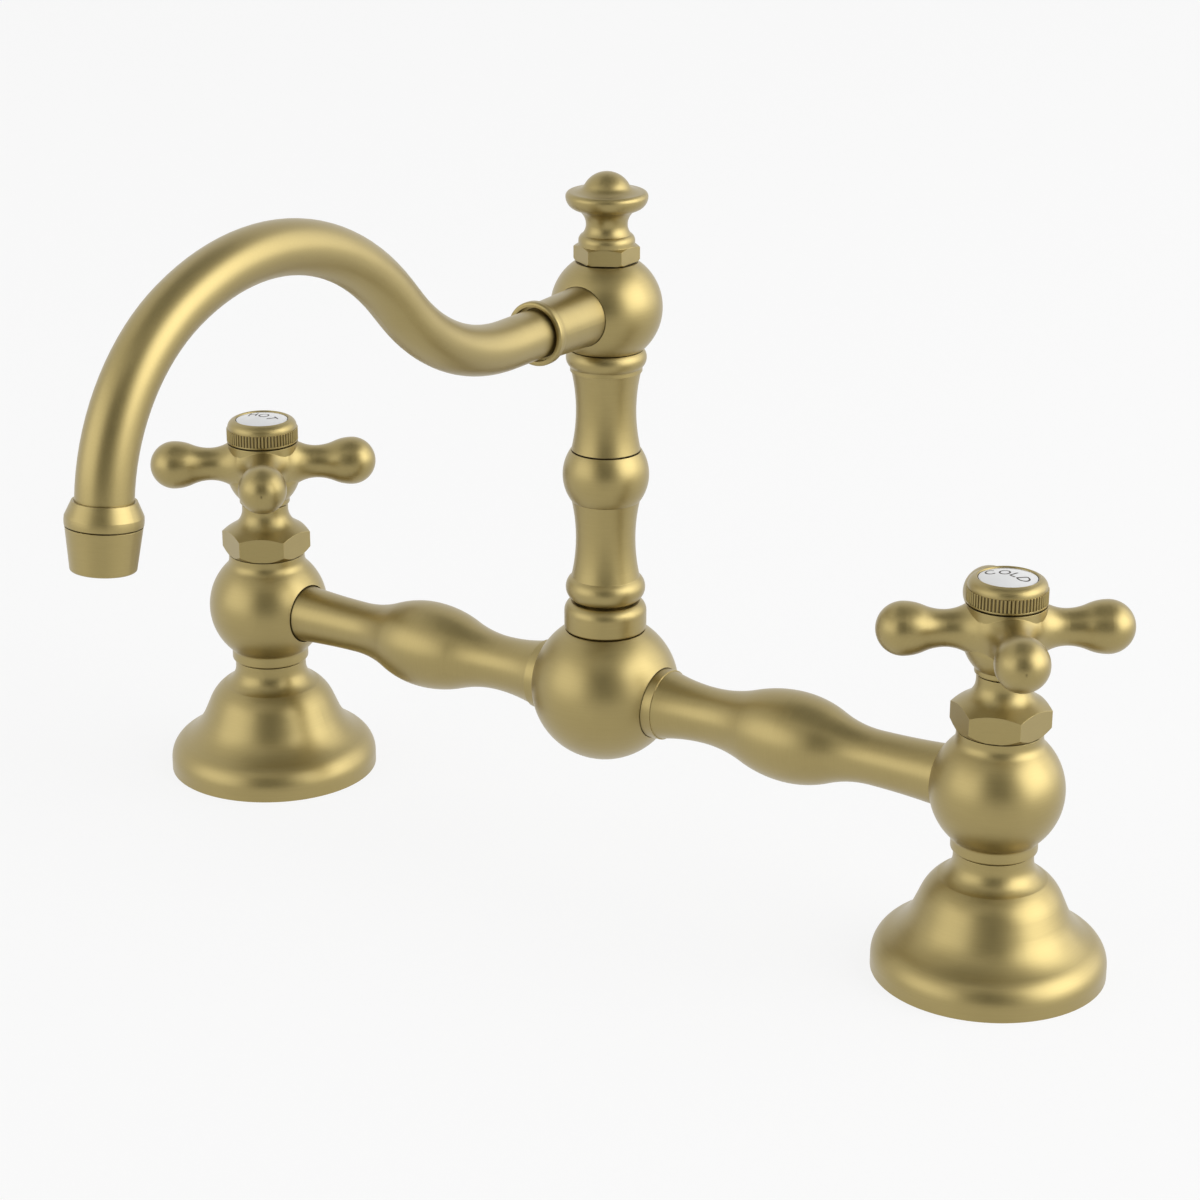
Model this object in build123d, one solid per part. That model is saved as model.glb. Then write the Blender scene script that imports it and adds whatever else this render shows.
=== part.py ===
"""Bridge bathroom faucet: two deck valves, a turned bridge and a swivelling gooseneck spout.

Millimetres. +Z is up and z = 0 is the top of the deck. The origin lies midway between the two
valves. X runs along the bridge with the cold valve at +X, and the spout points to -Y.
"""
from build123d import *
from math import cos, pi, radians, sin, sqrt
import os

# Driving dimensions of the whole
valve_spacing = 203.2          # centre to centre of the valves and of the deck holes
deck_thickness = 20.0          # deck that the nuts and washers are drawn clamping

# Fits
seam = 0.3                     # open line between two pieces that meet
running_play = 0.05            # radial play of a piece that turns in its bore
thread_play = 0.05             # radial play between two screwed pieces, threads drawn plain
seat_play = 0.15               # play of a piece in a plain counterbore
face_play = 0.05               # play between two faces that meet
blind_play = 0.1               # room over the stem in the handle
stop_play = 0.2                # room left by a shoulder that another one stops short
end_play = 0.5                 # room left beyond the end of a screw or spigot
squeeze_play = 0.02            # what is left round a rubber ring in its groove
groove_slack = 0.2             # width of an O-ring groove beyond its ring
water_bore_radius = 3.0        # waterway through the bridge, the swivel and the column

# Base flange: a bell whose foot, cove, dome and neck flow into one another
base_foot_radius = 25.9
base_foot_edge = 2.6           # straight edge at the deck
base_shoulder_inset = 3.3      # from the foot's radius to where its round turns into the cove
base_shoulder_height = 8.2
base_cove_radius = 17.1        # where the cove turns into the dome
base_cove_height = 14.3
base_flank_radius = 15.6       # where the dome's straight flank ends
base_flank_height = 17.8
base_dome_radius = 12.0        # where the dome turns into the neck's cove
base_dome_height = 22.3
base_neck_radius = 8.8
base_neck_foot = 27.0
base_height = 28.7
base_rim_width = 5.0           # wall at the deck
base_hollow_radius = 14.9      # where the hollow's curve meets its cone
base_hollow_height = 12.3
base_ceiling_height = 19.8     # from the deck to the underside of the crown
base_ceiling_radius = 11.4
gasket_width = 2.4
gasket_groove_depth = 1.5

# Shank, nut and washers, below the deck
shank_radius = 10.5            # plain stretch that stands in the deck hole
shank_thread_radius = 10.32    # crest of the thread below it
shank_plain_depth = 5.0        # plain stretch below the top of the deck
shank_spigot_radius = 6.5      # thread in the valve body
shank_spigot_grip = 4.8        # thread engaged in the valve body
shank_undercut_radius = 9.2
shank_undercut_width = 2.0
thread_below_nut = 4.5
supply_thread_length = 20.0
supply_bore_radius = 6.5
supply_bore_cone = 4.0         # length of the cone between the two bores
inlet_drop = 4.0               # narrow bore between the cone and the shank's shoulder
thread_chamfer = 0.8
nut_flats = 30.0
nut_height = 7.0
nut_chamfer = 1.2
rubber_washer_radius = 17.0
rubber_washer_thickness = 3.0
steel_washer_radius = 17.5
steel_washer_thickness = 1.5
washer_play = 0.3              # radial gap between the washers and the thread

# Valve body: foot ring, ball and neck
body_foot_radius = 9.5
body_foot_height = 2.85
body_foot_round = 0.5
body_foot_fillet = 1.2         # between the foot ring and the ball
ball_radius = 14.7
body_neck_radius = 9.4
body_neck_height = 2.5
body_neck_fillet = 3.2         # between the ball and the neck
inlet_radius = 4.2
seat_land = 1.8                # floor between the foot thread and the cartridge

# Bonnet nut: hexagon with a turned, concave top
bonnet_flats = 19.0
bonnet_foot_radius = 9.6
bonnet_chamfer_height = 1.5
bonnet_hex_height = 3.5        # full corners, above the lower chamfer
bonnet_shoulder_radius = 8.2   # where the cone over the hexagon turns into the cove
bonnet_shoulder_height = 1.9
bonnet_cove_height = 4.3
bonnet_neck_radius = 5.7
bonnet_neck_height = 1.35
bonnet_thread_radius = 8.0
bonnet_thread_length = 7.0
bonnet_bore_radius = 5.8
bonnet_roof = 9.7              # solid metal round the stem, at the top
bonnet_stem_gap = 0.3
hot_bonnet_turn = 2.7          # degrees by which the tightened hexagon stands off square
cold_bonnet_turn = -11.3

# Cartridge and its ceramic discs
cartridge_radius = 6.5
cartridge_play = 0.1
cartridge_floor_gap = 0.4      # left below the barrel, so that the seal is what seats
cartridge_roof = 4.2           # metal above the chamber
sleeve_radius = 5.6
sleeve_length = 6.0
chamber_radius = 5.1
window_radius = 2.2
seal_thickness = 1.2
seal_width = 1.6
disc_radius = 4.95
disc_thickness = 1.6
disc_port_radius = 1.3
disc_port_reach = 2.9          # from the stem's axis to the ports of the fixed disc
disc_notch_reach = 3.9         # from the stem's axis to the notches of the moving disc

# Stem
stem_radius = 3.6
stem_post_radius = 2.6         # below the flange, where the water passes
stem_flange_radius = 4.9
stem_flange_thickness = 1.4
stem_groove_rise = 3.0         # O-ring above the flange
stem_groove_depth = 0.8
stem_grip = 10.4               # length of the stem inside the handle
tongue_width = 1.6
tongue_height = 0.7
tongue_play = 0.1

# Cross handle
hot_handle_angle = 39.24       # direction of one arm, from +X
cold_handle_angle = 35.6
handle_foot_radius = 5.9
handle_ring_radius = 6.2
handle_ring_round = 0.4
handle_ring_height = 1.3
handle_flank_height = 4.6      # from the foot ring to the full width of the hub
handle_flank_swell = 0.35
handle_hub_radius = 8.8
handle_rim_radius = 8.7
handle_arm_rise = 10.2         # from the handle's foot to the axis of its arms
handle_height = 15.7
arm_root_reach = 6.0           # where the flare of an arm starts inside the hub
arm_root_radius = 7.34         # so wide that the flares of two arms meet without a crease
arm_waist_reach = 13.0
arm_waist_radius = 4.0
arm_ball_reach = 21.8
arm_ball_radius = 5.85
handle_floor = 1.8             # metal between the stem and the screw's head

# Handle screw
screw_radius = 2.0
screw_length = 8.0
screw_head_radius = 3.6
screw_head_height = 2.0
screw_hole_play = 0.2
screw_slot_width = 0.9
screw_slot_depth = 0.9

# Index ring and porcelain disc
ring_radius = 8.75
ring_foot_round = 0.3
ring_land_height = 0.5         # smooth band under the knurl
ring_knurl_height = 3.1
ring_knurl_depth = 0.25        # roots of the knurl, inside the smooth band
ring_shoulder_height = 1.9
ring_crest_radius = 7.0
ring_lip_radius = 6.4
ring_lip_drop = 0.25
ring_seat_depth = 2.2          # from the crest to the seat of the disc
ring_thread_radius = 6.7
ring_thread_length = 3.0
ring_wall = 1.5
porcelain_edge = 2.0           # straight side, up to the ring's crest
porcelain_crown = 0.7

# Bridge hub
hub_radius = 17.2
hub_rise = 0.8                 # centre of the ball above the axis of the arms
hub_face_radius = 9.3          # flat under the collar nut
hub_neck_radius = 7.6
hub_neck_height = 4.3
hub_seat_depth = 3.2           # counterbore of an arm, inside the ball's radius

# Bridge arms: a turned outline stretched between the hub and the valve ball
lip_radius = 8.2
lip_length = 3.4
lip_step = 0.25
hub_waist_radius = 6.5
swell_radius = 10.45
valve_waist_radius = 6.2
arm_mouth_radius = 7.1
hub_waist_at = 0.156           # places along the turned outline, from the lip to the valve
swell_at = 0.457
valve_waist_at = 0.742
valve_seat_depth = 3.9         # counterbore of the valve, inside its ball's radius
arm_spigot_radius = 4.6
arm_spigot_length = 4.2
arm_groove_depth = 0.8

# Collar nut and swivel
collar_radius = 9.5
collar_foot_round = 0.5
collar_shoulder_height = 2.45
collar_top_radius = 8.0
collar_lip_thickness = 1.0
washer_thickness = 0.5
swivel_flange_radius = 7.2
swivel_flange_thickness = 1.1
swivel_shank_radius = 5.9
swivel_spigot_radius = 5.0
swivel_spigot_length = 15.5
swivel_groove_depth = 0.9
swivel_groove_drop = 4.5       # from the flange to the first O-ring, and on to the second
column_thread_radius = 5.0
column_thread_length = 8.0

# Lower column with the middle ball
bead_step = 0.25               # small ledge between a bead and its cove
lower_bead_foot_radius = 7.3
lower_bead_radius = 9.15
lower_bead_top_radius = 8.1
lower_bead_height = 5.5
lower_cove_radius = 6.83
lower_cove_height = 18.4
mid_ball_neck_radius = 8.1
mid_ball_radius = 9.85
mid_ball_height = 11.55
stud_radius = 4.8              # screwed studs between the column's pieces
stud_length = 6.0

# Upper column
upper_cove_radius = 6.82
upper_cove_height = 18.45
upper_step_radius = 8.15
upper_step_height = 0.9
upper_bead_foot_radius = 8.3
upper_bead_radius = 9.1
upper_bead_height = 3.8

# Spout ball
spout_ball_radius = 12.55
spout_ball_foot_radius = 8.5
spout_ball_top_radius = 7.0
finial_thread_radius = 4.0
finial_thread_length = 6.0
finial_groove_depth = 0.9
finial_seal_drop = 1.8         # from the top of the ball to the finial's O-ring

# Finial
finial_flats = 12.8
finial_hex_height = 3.6
finial_chamfer = 0.6
finial_ring_radius = 6.3
finial_ring_height = 0.9
finial_bead_height = 1.5
finial_bead_top_radius = 5.4
finial_neck_radius = 4.63
finial_lower_neck_height = 2.1
finial_upper_neck_height = 3.4
finial_cup_radius = 6.6
finial_cup_height = 2.9
finial_rim_radius = 9.15
finial_rim_round = 1.1
finial_dome_radius = 5.2
finial_dome_foot_rise = 0.95   # concave rise from the rim to the foot of the dome
finial_dome_hollow = 0.2
finial_dome_fillet = 2.2       # between the rise and the dome
finial_dome_height = 3.4

# Spout socket
socket_seat_depth = 3.75       # counterbore of the ball, inside its radius
socket_spigot_radius = 5.4
socket_spigot_length = 3.6
socket_root_radius = 6.75
socket_end_radius = 6.25
socket_taper_length = 16.4
socket_fillet_radius = 6.55
socket_fillet_width = 0.8
rim_bead_radius = 7.1
rim_bead_width = 2.2
rim_bead_round = 0.6
tube_grip = 14.3               # tube engaged in the socket
socket_mouth_gap = 0.55        # open ring round the tube at the socket's mouth
socket_mouth_depth = 1.6

# Spout tube
tube_radius = 5.42
tube_wall = 1.0
tube_lead = 10.0               # straight tube in front of the socket
rise_radius = 50.0
rise_angle = 46.3
slope_run = 5.0
arch_radius = 54.8
arch_angle = 71.8
drop_radius = 38.9
outlet_tilt = 5.8              # lean of the outlet from the vertical
outlet_run = 3.6

# Outlet collar and aerator
outlet_lip_radius = 5.95
outlet_cone_radius = 7.2
outlet_cone_height = 2.8
outlet_radius = 7.25
outlet_band_height = 1.65
outlet_grip = 3.6              # tube inside the collar
nipple_radius = 6.0
nipple_length = 3.0
nipple_bore_radius = 4.9
aerator_top_radius = 7.1
aerator_foot_radius = 6.12
aerator_height = 8.3
aerator_round = 0.5
aerator_lip = 0.5              # inward lip that holds the insert
aerator_lip_radius = 4.8
aerator_bore_radius = 5.4
aerator_washer_height = 1.1
insert_play = 0.1
insert_plate = 1.6
insert_wall = 0.9
insert_hole_radius = 0.65
insert_hole_pitch = 1.9
insert_hole_rings = 2          # rings of holes round the middle one

# Heights above the deck, worked up from the base
body_foot = base_height + seam
bridge_axis = body_foot + body_foot_height + sqrt(ball_radius**2 - body_foot_radius**2)
body_top = bridge_axis + sqrt(ball_radius**2 - body_neck_radius**2) + body_neck_height
bonnet_foot = body_top + seam
bonnet_hex_top = bonnet_foot + bonnet_chamfer_height + bonnet_hex_height
bonnet_shoulder_top = bonnet_hex_top + bonnet_shoulder_height
bonnet_top = bonnet_shoulder_top + bonnet_cove_height + bonnet_neck_height
handle_foot = bonnet_top + seam
handle_axis = handle_foot + handle_arm_rise
handle_top = handle_foot + handle_height
ring_foot = handle_top + seam
ring_top = ring_foot + ring_land_height + ring_knurl_height + ring_shoulder_height
disc_seat = ring_top - ring_seat_depth

# Inside the valve
spigot_room = shank_spigot_grip + stop_play
cartridge_seat = body_foot + spigot_room + seat_land
bonnet_skirt_foot = bonnet_foot - bonnet_thread_length
barrel_top = bonnet_skirt_foot - face_play
chamber_top = barrel_top - cartridge_roof
fixed_disc_foot = cartridge_seat + seal_thickness
moving_disc_foot = fixed_disc_foot + disc_thickness + face_play
stem_foot = moving_disc_foot + disc_thickness + face_play
stem_flange_top = chamber_top - face_play
stem_top = handle_foot + stem_grip
screw_seat = stem_top + blind_play + handle_floor

# Below the deck
steel_washer_top = -deck_thickness - rubber_washer_thickness
nut_top = steel_washer_top - steel_washer_thickness
nut_foot = nut_top - nut_height
shank_undercut_top = nut_foot - thread_below_nut
supply_thread_top = shank_undercut_top - shank_undercut_width
shank_foot = supply_thread_top - supply_thread_length
shank_shoulder = base_ceiling_height - stop_play

# Swivel and column
hub_centre = bridge_axis + hub_rise
hub_face = hub_centre + sqrt(hub_radius**2 - hub_face_radius**2)
hub_top = hub_face + hub_neck_height
collar_foot = hub_face + seam
swivel_flange_foot = hub_top + washer_thickness + face_play
collar_ceiling = swivel_flange_foot + swivel_flange_thickness + face_play
collar_top = collar_ceiling + collar_lip_thickness
column_foot = collar_top + seam
lower_cove_foot = column_foot + lower_bead_height + bead_step
mid_ball_foot = lower_cove_foot + lower_cove_height + bead_step
lower_column_top = mid_ball_foot + mid_ball_height
upper_column_foot = lower_column_top + seam
upper_step_foot = upper_column_foot + upper_cove_height
upper_column_top = upper_step_foot + upper_step_height + bead_step + upper_bead_height
spout_ball_foot = upper_column_top + seam
spout_axis = spout_ball_foot + sqrt(spout_ball_radius**2 - spout_ball_foot_radius**2)
spout_ball_top = spout_axis + sqrt(spout_ball_radius**2 - spout_ball_top_radius**2)
finial_foot = spout_ball_top + seam

# Reaches along the bridge and the spout
bridge_half = valve_spacing / 2
hub_seat_reach = hub_radius - hub_seat_depth
valve_seat_reach = ball_radius - valve_seat_depth
socket_seat_reach = spout_ball_radius - socket_seat_depth
lip_seat = hub_seat_reach + seat_play
lip_end = lip_seat + lip_length
arm_end = bridge_half - valve_seat_reach - seat_play
turned_length = arm_end - lip_end
socket_seat = socket_seat_reach + face_play
socket_taper_end = socket_seat + socket_taper_length
socket_end = socket_taper_end + socket_fillet_width + rim_bead_width
tube_start = socket_end - tube_grip

corner_trim = 0.2              # how far a chamfer's cutter passes the corners of a hexagon


class Outline:
    """Half section drawn with a pen, radius first and height second, then spun about +Z."""

    def __init__(self, radius, height):
        self.first = self.pen = Vector(radius, 0, height)
        self.edges = []
        self.corners = []

    def add(self, edge, end):
        """Keep an edge and move the pen to its end."""
        self.edges.append(edge)
        self.pen = end
        return self

    def ease(self, radius):
        """Mark the corner where the pen stands, to be rounded when the outline is closed."""
        self.corners.append((self.pen, radius))
        return self

    def line(self, radius, height):
        """Straight to the given point."""
        end = Vector(radius, 0, height)
        return self.add(Line(self.pen, end), end)

    def bow(self, radius, height, middle_radius):
        """Arc to the given point that passes the middle radius halfway up."""
        end = Vector(radius, 0, height)
        middle = Vector(middle_radius, 0, (self.pen.Z + height) / 2)
        return self.add(ThreePointArc(self.pen, middle, end), end)

    def through(self, radius, height, middle_radius, middle_height):
        """Arc to the given point that passes another one."""
        end = Vector(radius, 0, height)
        middle = Vector(middle_radius, 0, middle_height)
        return self.add(ThreePointArc(self.pen, middle, end), end)

    def swell(self, radius, height, depth):
        """Arc to the given point that stands off its chord, to the right of the pen's way."""
        end = Vector(radius, 0, height)
        chord = (end - self.pen).normalized()
        middle = (self.pen + end) * 0.5 + Vector(chord.Z, 0, -chord.X) * depth
        return self.add(ThreePointArc(self.pen, middle, end), end)

    def leave(self, radius, height):
        """Arc that sets off along the axis and ends at the given point."""
        end = Vector(radius, 0, height)
        way = Vector(0, 0, 1) if height > self.pen.Z else Vector(0, 0, -1)
        return self.add(TangentArc(self.pen, end, tangent=way), end)

    def arrive(self, radius, height):
        """Arc that comes in along the axis at the given point."""
        end = Vector(radius, 0, height)
        way = Vector(0, 0, -1) if height > self.pen.Z else Vector(0, 0, 1)
        return self.add(TangentArc(end, self.pen, tangent=way), end)

    def flow(self, radius, height):
        """Arc to the given point that sets off the way the last edge came in."""
        end = Vector(radius, 0, height)
        last = self.edges[-1]
        way = last % 1 if (last @ 1 - self.pen).length < (last @ 0 - self.pen).length else last % 0 * -1
        return self.add(TangentArc(self.pen, end, tangent=way), end)

    def ogee(self, radius, height):
        """Two equal arcs, turned opposite ways, that run along the axis at both ends."""
        self.leave((self.pen.X + radius) / 2, (self.pen.Z + height) / 2)
        return self.arrive(radius, height)

    def crown(self, height):
        """Dome that closes on the axis at the given height."""
        end = Vector(0, 0, height)
        return self.add(TangentArc(end, self.pen, tangent=Vector(1, 0, 0)), end)

    def spin(self):
        """Close the outline, round its eased corners and revolve it."""
        self.line(self.first.X, self.first.Z)
        face = make_face(Wire(self.edges)).face()
        for corner, radius in self.corners:
            face = face.fillet_2d(radius, [face.vertices().sort_by_distance(corner)[0]])
        return revolve(face, Axis.Z)


class Route:
    """Centre line in the plane of the spout, laid from runs and bends that join smoothly."""

    def __init__(self, reach, height):
        self.end = Vector(0, -reach, height)
        self.climb = 0
        self.length = 0
        self.edges = []

    def ahead(self):
        """Direction of travel."""
        return Vector(0, -cos(radians(self.climb)), sin(radians(self.climb)))

    def above(self, climb):
        """Direction square to the travel, on the upper side."""
        return Vector(0, sin(radians(climb)), cos(radians(climb)))

    def run(self, length):
        """Straight stretch."""
        start = self.end
        self.end = start + self.ahead() * length
        self.edges.append(Line(start, self.end))
        self.length += length
        return self

    def bend(self, radius, angle):
        """Arc that turns up if the angle is positive and down if it is negative."""
        side = radius if angle > 0 else -radius
        start = self.end
        centre = start + self.above(self.climb) * side
        middle = centre - self.above(self.climb + angle / 2) * side
        self.end = centre - self.above(self.climb + angle) * side
        self.edges.append(ThreePointArc(start, middle, self.end))
        self.climb += angle
        self.length += radius * radians(abs(angle))
        return self


def rod(radius, bottom, top):
    """Cylinder about Z between two heights."""
    return Pos(0, 0, (bottom + top) / 2) * Cylinder(radius, top - bottom)


def sleeve(radius, bore, bottom, top):
    """Ring or tube about Z between two heights."""
    return rod(radius, bottom, top) - rod(bore, bottom, top)


def cross_bore(radius, near, far, height):
    """Cylinder along +X between two reaches, at the given height."""
    return Pos(0, 0, height) * Rot(0, 90, 0) * rod(radius, near, far)


def hexagon(flats, bottom, top):
    """Hexagonal prism about Z with one flat towards +X."""
    face = Rot(0, 0, 30) * RegularPolygon(flats / 2, 6, major_radius=False)
    return Pos(0, 0, bottom) * extrude(face, top - bottom)


def corner_radius(flats):
    """Half the width of a hexagon across its corners."""
    return flats / 2 / cos(pi / 6)


def groove(radius, depth, bore, height):
    """Cutter for an O-ring groove round a rod that stands in the given bore."""
    half_width = (bore - radius + depth + groove_slack) / 2
    return sleeve(radius + depth, radius - depth, height - half_width, height + half_width)


def rubber_ring(radius, depth, bore, height):
    """O-ring that fills such a groove out to the bore."""
    wire = (bore - radius + depth) / 2 - squeeze_play
    return Pos(0, 0, height) * Torus((bore + radius - depth) / 2, wire)


def base():
    """Bell-shaped flange on the deck, hollow below, with a gasket groove in its rim."""
    bell = Outline(0, 0).line(base_foot_radius, 0).line(base_foot_radius, base_foot_edge)
    bell.leave(base_foot_radius - base_shoulder_inset, base_shoulder_height)
    bell.flow(base_cove_radius, base_cove_height)
    bell.line(base_flank_radius, base_flank_height)
    bell.flow(base_dome_radius, base_dome_height)
    bell.arrive(base_neck_radius, base_neck_foot)
    bell.line(base_neck_radius, base_height).line(0, base_height)
    rim_bore = base_foot_radius - base_rim_width
    hollow = Outline(0, 0).line(rim_bore, 0).line(rim_bore, base_foot_edge)
    hollow.leave(base_hollow_radius, base_hollow_height)
    hollow.line(base_ceiling_radius, base_ceiling_height).line(0, base_ceiling_height)
    middle = base_foot_radius - base_rim_width / 2
    half_groove = gasket_width / 2 + face_play
    gasket_groove = sleeve(middle + half_groove, middle - half_groove, 0, gasket_groove_depth)
    neck_bore = rod(shank_spigot_radius + seat_play, base_ceiling_height, base_height)
    return bell.spin() - hollow.spin() - gasket_groove - neck_bore


def base_gasket():
    """Rubber ring in the rim's groove, level with the rim."""
    middle = base_foot_radius - base_rim_width / 2
    half_width = gasket_width / 2
    return sleeve(middle + half_width, middle - half_width, 0, gasket_groove_depth - face_play)


def shank():
    """Threaded tube that screws into the valve body and clamps the base and the deck."""
    spigot_top = body_foot + shank_spigot_grip
    tube = Outline(0, shank_foot).line(shank_thread_radius - thread_chamfer, shank_foot)
    tube.line(shank_thread_radius, shank_foot + thread_chamfer)
    tube.line(shank_thread_radius, supply_thread_top)
    tube.line(shank_undercut_radius, supply_thread_top)
    tube.line(shank_undercut_radius, shank_undercut_top)
    tube.line(shank_thread_radius, shank_undercut_top)
    tube.line(shank_thread_radius, -shank_plain_depth)
    tube.line(shank_radius, -shank_plain_depth).line(shank_radius, shank_shoulder)
    tube.line(shank_spigot_radius, shank_shoulder).line(shank_spigot_radius, spigot_top)
    tube.line(0, spigot_top)
    bore = Outline(0, shank_foot).line(supply_bore_radius, shank_foot)
    cone_top = shank_shoulder - inlet_drop
    bore.line(supply_bore_radius, cone_top - supply_bore_cone).line(inlet_radius, cone_top)
    bore.line(inlet_radius, spigot_top).line(0, spigot_top)
    return tube.spin() - bore.spin()


def deck_washer(radius, bottom, thickness):
    """Flat washer round the shank's thread."""
    return sleeve(radius, shank_thread_radius + washer_play, bottom, bottom + thickness)


def lock_nut():
    """Hexagon nut, chamfered on both faces."""
    corner = corner_radius(nut_flats) + corner_trim
    turned = Outline(0, nut_foot).line(corner - nut_chamfer, nut_foot)
    turned.line(corner, nut_foot + nut_chamfer / 2).line(corner, nut_top - nut_chamfer / 2)
    turned.line(corner - nut_chamfer, nut_top).line(0, nut_top)
    bore = rod(shank_thread_radius + thread_play, nut_foot, nut_top)
    return (turned.spin() & hexagon(nut_flats, nut_foot, nut_top)) - bore


def valve_body():
    """Ball with a foot ring and a neck, and its outlet towards +X."""
    ball_foot = body_foot + body_foot_height
    ball_top = body_top - body_neck_height
    body = Outline(0, body_foot).line(body_foot_radius - body_foot_round, body_foot)
    body.arrive(body_foot_radius, body_foot + body_foot_round)
    body.line(body_foot_radius, ball_foot).ease(body_foot_fillet)
    body.through(body_neck_radius, ball_top, ball_radius, bridge_axis).ease(body_neck_fillet)
    body.line(body_neck_radius, body_top).line(0, body_top)
    foot_thread = rod(shank_spigot_radius + thread_play, body_foot, body_foot + spigot_room)
    inlet = rod(inlet_radius, body_foot, cartridge_seat)
    barrel = rod(cartridge_radius + cartridge_play, cartridge_seat, body_top)
    thread_floor = bonnet_skirt_foot - end_play
    bonnet_thread = rod(bonnet_thread_radius + thread_play, thread_floor, body_top)
    mouth = cross_bore(arm_mouth_radius + seat_play, valve_seat_reach, ball_radius, bridge_axis)
    port = cross_bore(arm_spigot_radius + seat_play, 0, valve_seat_reach, bridge_axis)
    return body.spin() - foot_thread - inlet - barrel - bonnet_thread - mouth - port


def seat_seal():
    """Rubber ring that carries the fixed disc."""
    return sleeve(disc_radius, disc_radius - seal_width, cartridge_seat, fixed_disc_foot)


def cartridge():
    """Barrel round the discs, with two side windows and a sleeve for the stem."""
    barrel_foot = cartridge_seat + cartridge_floor_gap
    shell = rod(cartridge_radius, barrel_foot, barrel_top)
    shell += rod(sleeve_radius, barrel_top, barrel_top + sleeve_length)
    shell -= rod(chamber_radius, barrel_foot, chamber_top)
    shell -= rod(stem_radius + running_play, chamber_top, barrel_top + sleeve_length)
    return shell - cross_bore(window_radius, -ball_radius, ball_radius, bridge_axis)


def fixed_disc():
    """Ceramic disc with a port on each side of the axis."""
    disc_top = fixed_disc_foot + disc_thickness
    disc = rod(disc_radius, fixed_disc_foot, disc_top)
    for side in (-1, 1):
        disc -= Pos(0, side * disc_port_reach, 0) * rod(disc_port_radius, fixed_disc_foot, disc_top)
    return disc


def moving_disc():
    """Ceramic disc that uncovers the ports when the stem turns it by a quarter."""
    disc_top = moving_disc_foot + disc_thickness
    disc = rod(disc_radius, moving_disc_foot, disc_top)
    for side in (-1, 1):
        notch = rod(disc_port_radius, moving_disc_foot, disc_top)
        disc -= Pos(side * disc_notch_reach, 0, 0) * notch
    slot_depth = tongue_height + face_play
    slot = Box(2 * stem_post_radius + 2 * tongue_play, tongue_width + 2 * tongue_play, slot_depth)
    return disc - Pos(0, 0, disc_top - slot_depth / 2) * slot


def stem():
    """Spindle with a tongue for the moving disc, a flange and a tapped top."""
    flange_foot = stem_flange_top - stem_flange_thickness
    spindle = rod(stem_post_radius, stem_foot, flange_foot)
    spindle += rod(stem_flange_radius, flange_foot, stem_flange_top)
    spindle += rod(stem_radius, stem_flange_top, stem_top)
    tongue = Pos(0, 0, stem_foot) * Box(2 * stem_post_radius, tongue_width, 2 * tongue_height)
    spindle += tongue & rod(stem_post_radius, stem_foot - tongue_height, stem_foot + tongue_height)
    spindle -= groove(stem_radius, stem_groove_depth, stem_radius + running_play, stem_ring_height())
    screw_end = screw_seat - screw_length - end_play
    return spindle - rod(screw_radius + thread_play, screw_end, stem_top)


def stem_ring_height():
    """Middle of the stem's O-ring."""
    return stem_flange_top + stem_groove_rise


def stem_ring():
    """O-ring that seals the stem in the cartridge."""
    bore = stem_radius + running_play
    return rubber_ring(stem_radius, stem_groove_depth, bore, stem_ring_height())


def bonnet_nut():
    """Hexagon nut whose turned top narrows in a cove to the stem."""
    corner = corner_radius(bonnet_flats) + corner_trim
    turned = Outline(0, bonnet_foot).line(bonnet_foot_radius, bonnet_foot)
    turned.line(corner, bonnet_foot + bonnet_chamfer_height).line(corner, bonnet_hex_top)
    turned.line(bonnet_shoulder_radius, bonnet_shoulder_top)
    turned.arrive(bonnet_neck_radius, bonnet_shoulder_top + bonnet_cove_height)
    turned.line(bonnet_neck_radius, bonnet_top).line(0, bonnet_top)
    nut = turned.spin() & hexagon(bonnet_flats, bonnet_foot, bonnet_top)
    nut += rod(bonnet_thread_radius, bonnet_skirt_foot, bonnet_foot)
    nut -= rod(bonnet_bore_radius, bonnet_skirt_foot, bonnet_top - bonnet_roof)
    return nut - rod(stem_radius + bonnet_stem_gap, bonnet_skirt_foot, bonnet_top)


def handle_arm():
    """One arm along +X, cut off where the flares of its neighbours begin."""
    ball_end = arm_ball_reach + arm_ball_radius
    arm = Outline(0, arm_root_reach).line(arm_root_radius, arm_root_reach)
    arm.arrive(arm_waist_radius, arm_waist_reach)
    arm.ogee(arm_ball_radius, arm_ball_reach)
    arm.crown(ball_end)
    side = sqrt(2) * ball_end
    quarter = Pos(ball_end, 0, 0) * Rot(0, 0, 45) * Box(side, side, side)
    return Pos(0, 0, handle_axis) * (Rot(0, 90, 0) * arm.spin() & quarter)


def handle():
    """Cross handle, one casting: hub with a foot ring and four arms."""
    flank_foot = handle_foot + handle_ring_height
    hub = Outline(0, handle_foot).line(handle_foot_radius, handle_foot)
    hub.arrive(handle_ring_radius, handle_foot + handle_ring_round)
    hub.line(handle_ring_radius, flank_foot)
    hub.swell(handle_hub_radius, flank_foot + handle_flank_height, handle_flank_swell)
    hub.bow(handle_rim_radius, handle_top, handle_hub_radius)
    hub.line(0, handle_top)
    casting = hub.spin()
    trim = rod(arm_waist_reach, handle_top, handle_top + arm_root_radius)
    for quarter in range(4):
        casting += Rot(0, 0, 90 * quarter) * (handle_arm() - trim)
    casting -= rod(stem_radius + face_play, handle_foot, stem_top + blind_play)
    casting -= rod(screw_radius + screw_hole_play, handle_foot, screw_seat)
    return casting - rod(ring_thread_radius + thread_play, screw_seat, handle_top)


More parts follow.
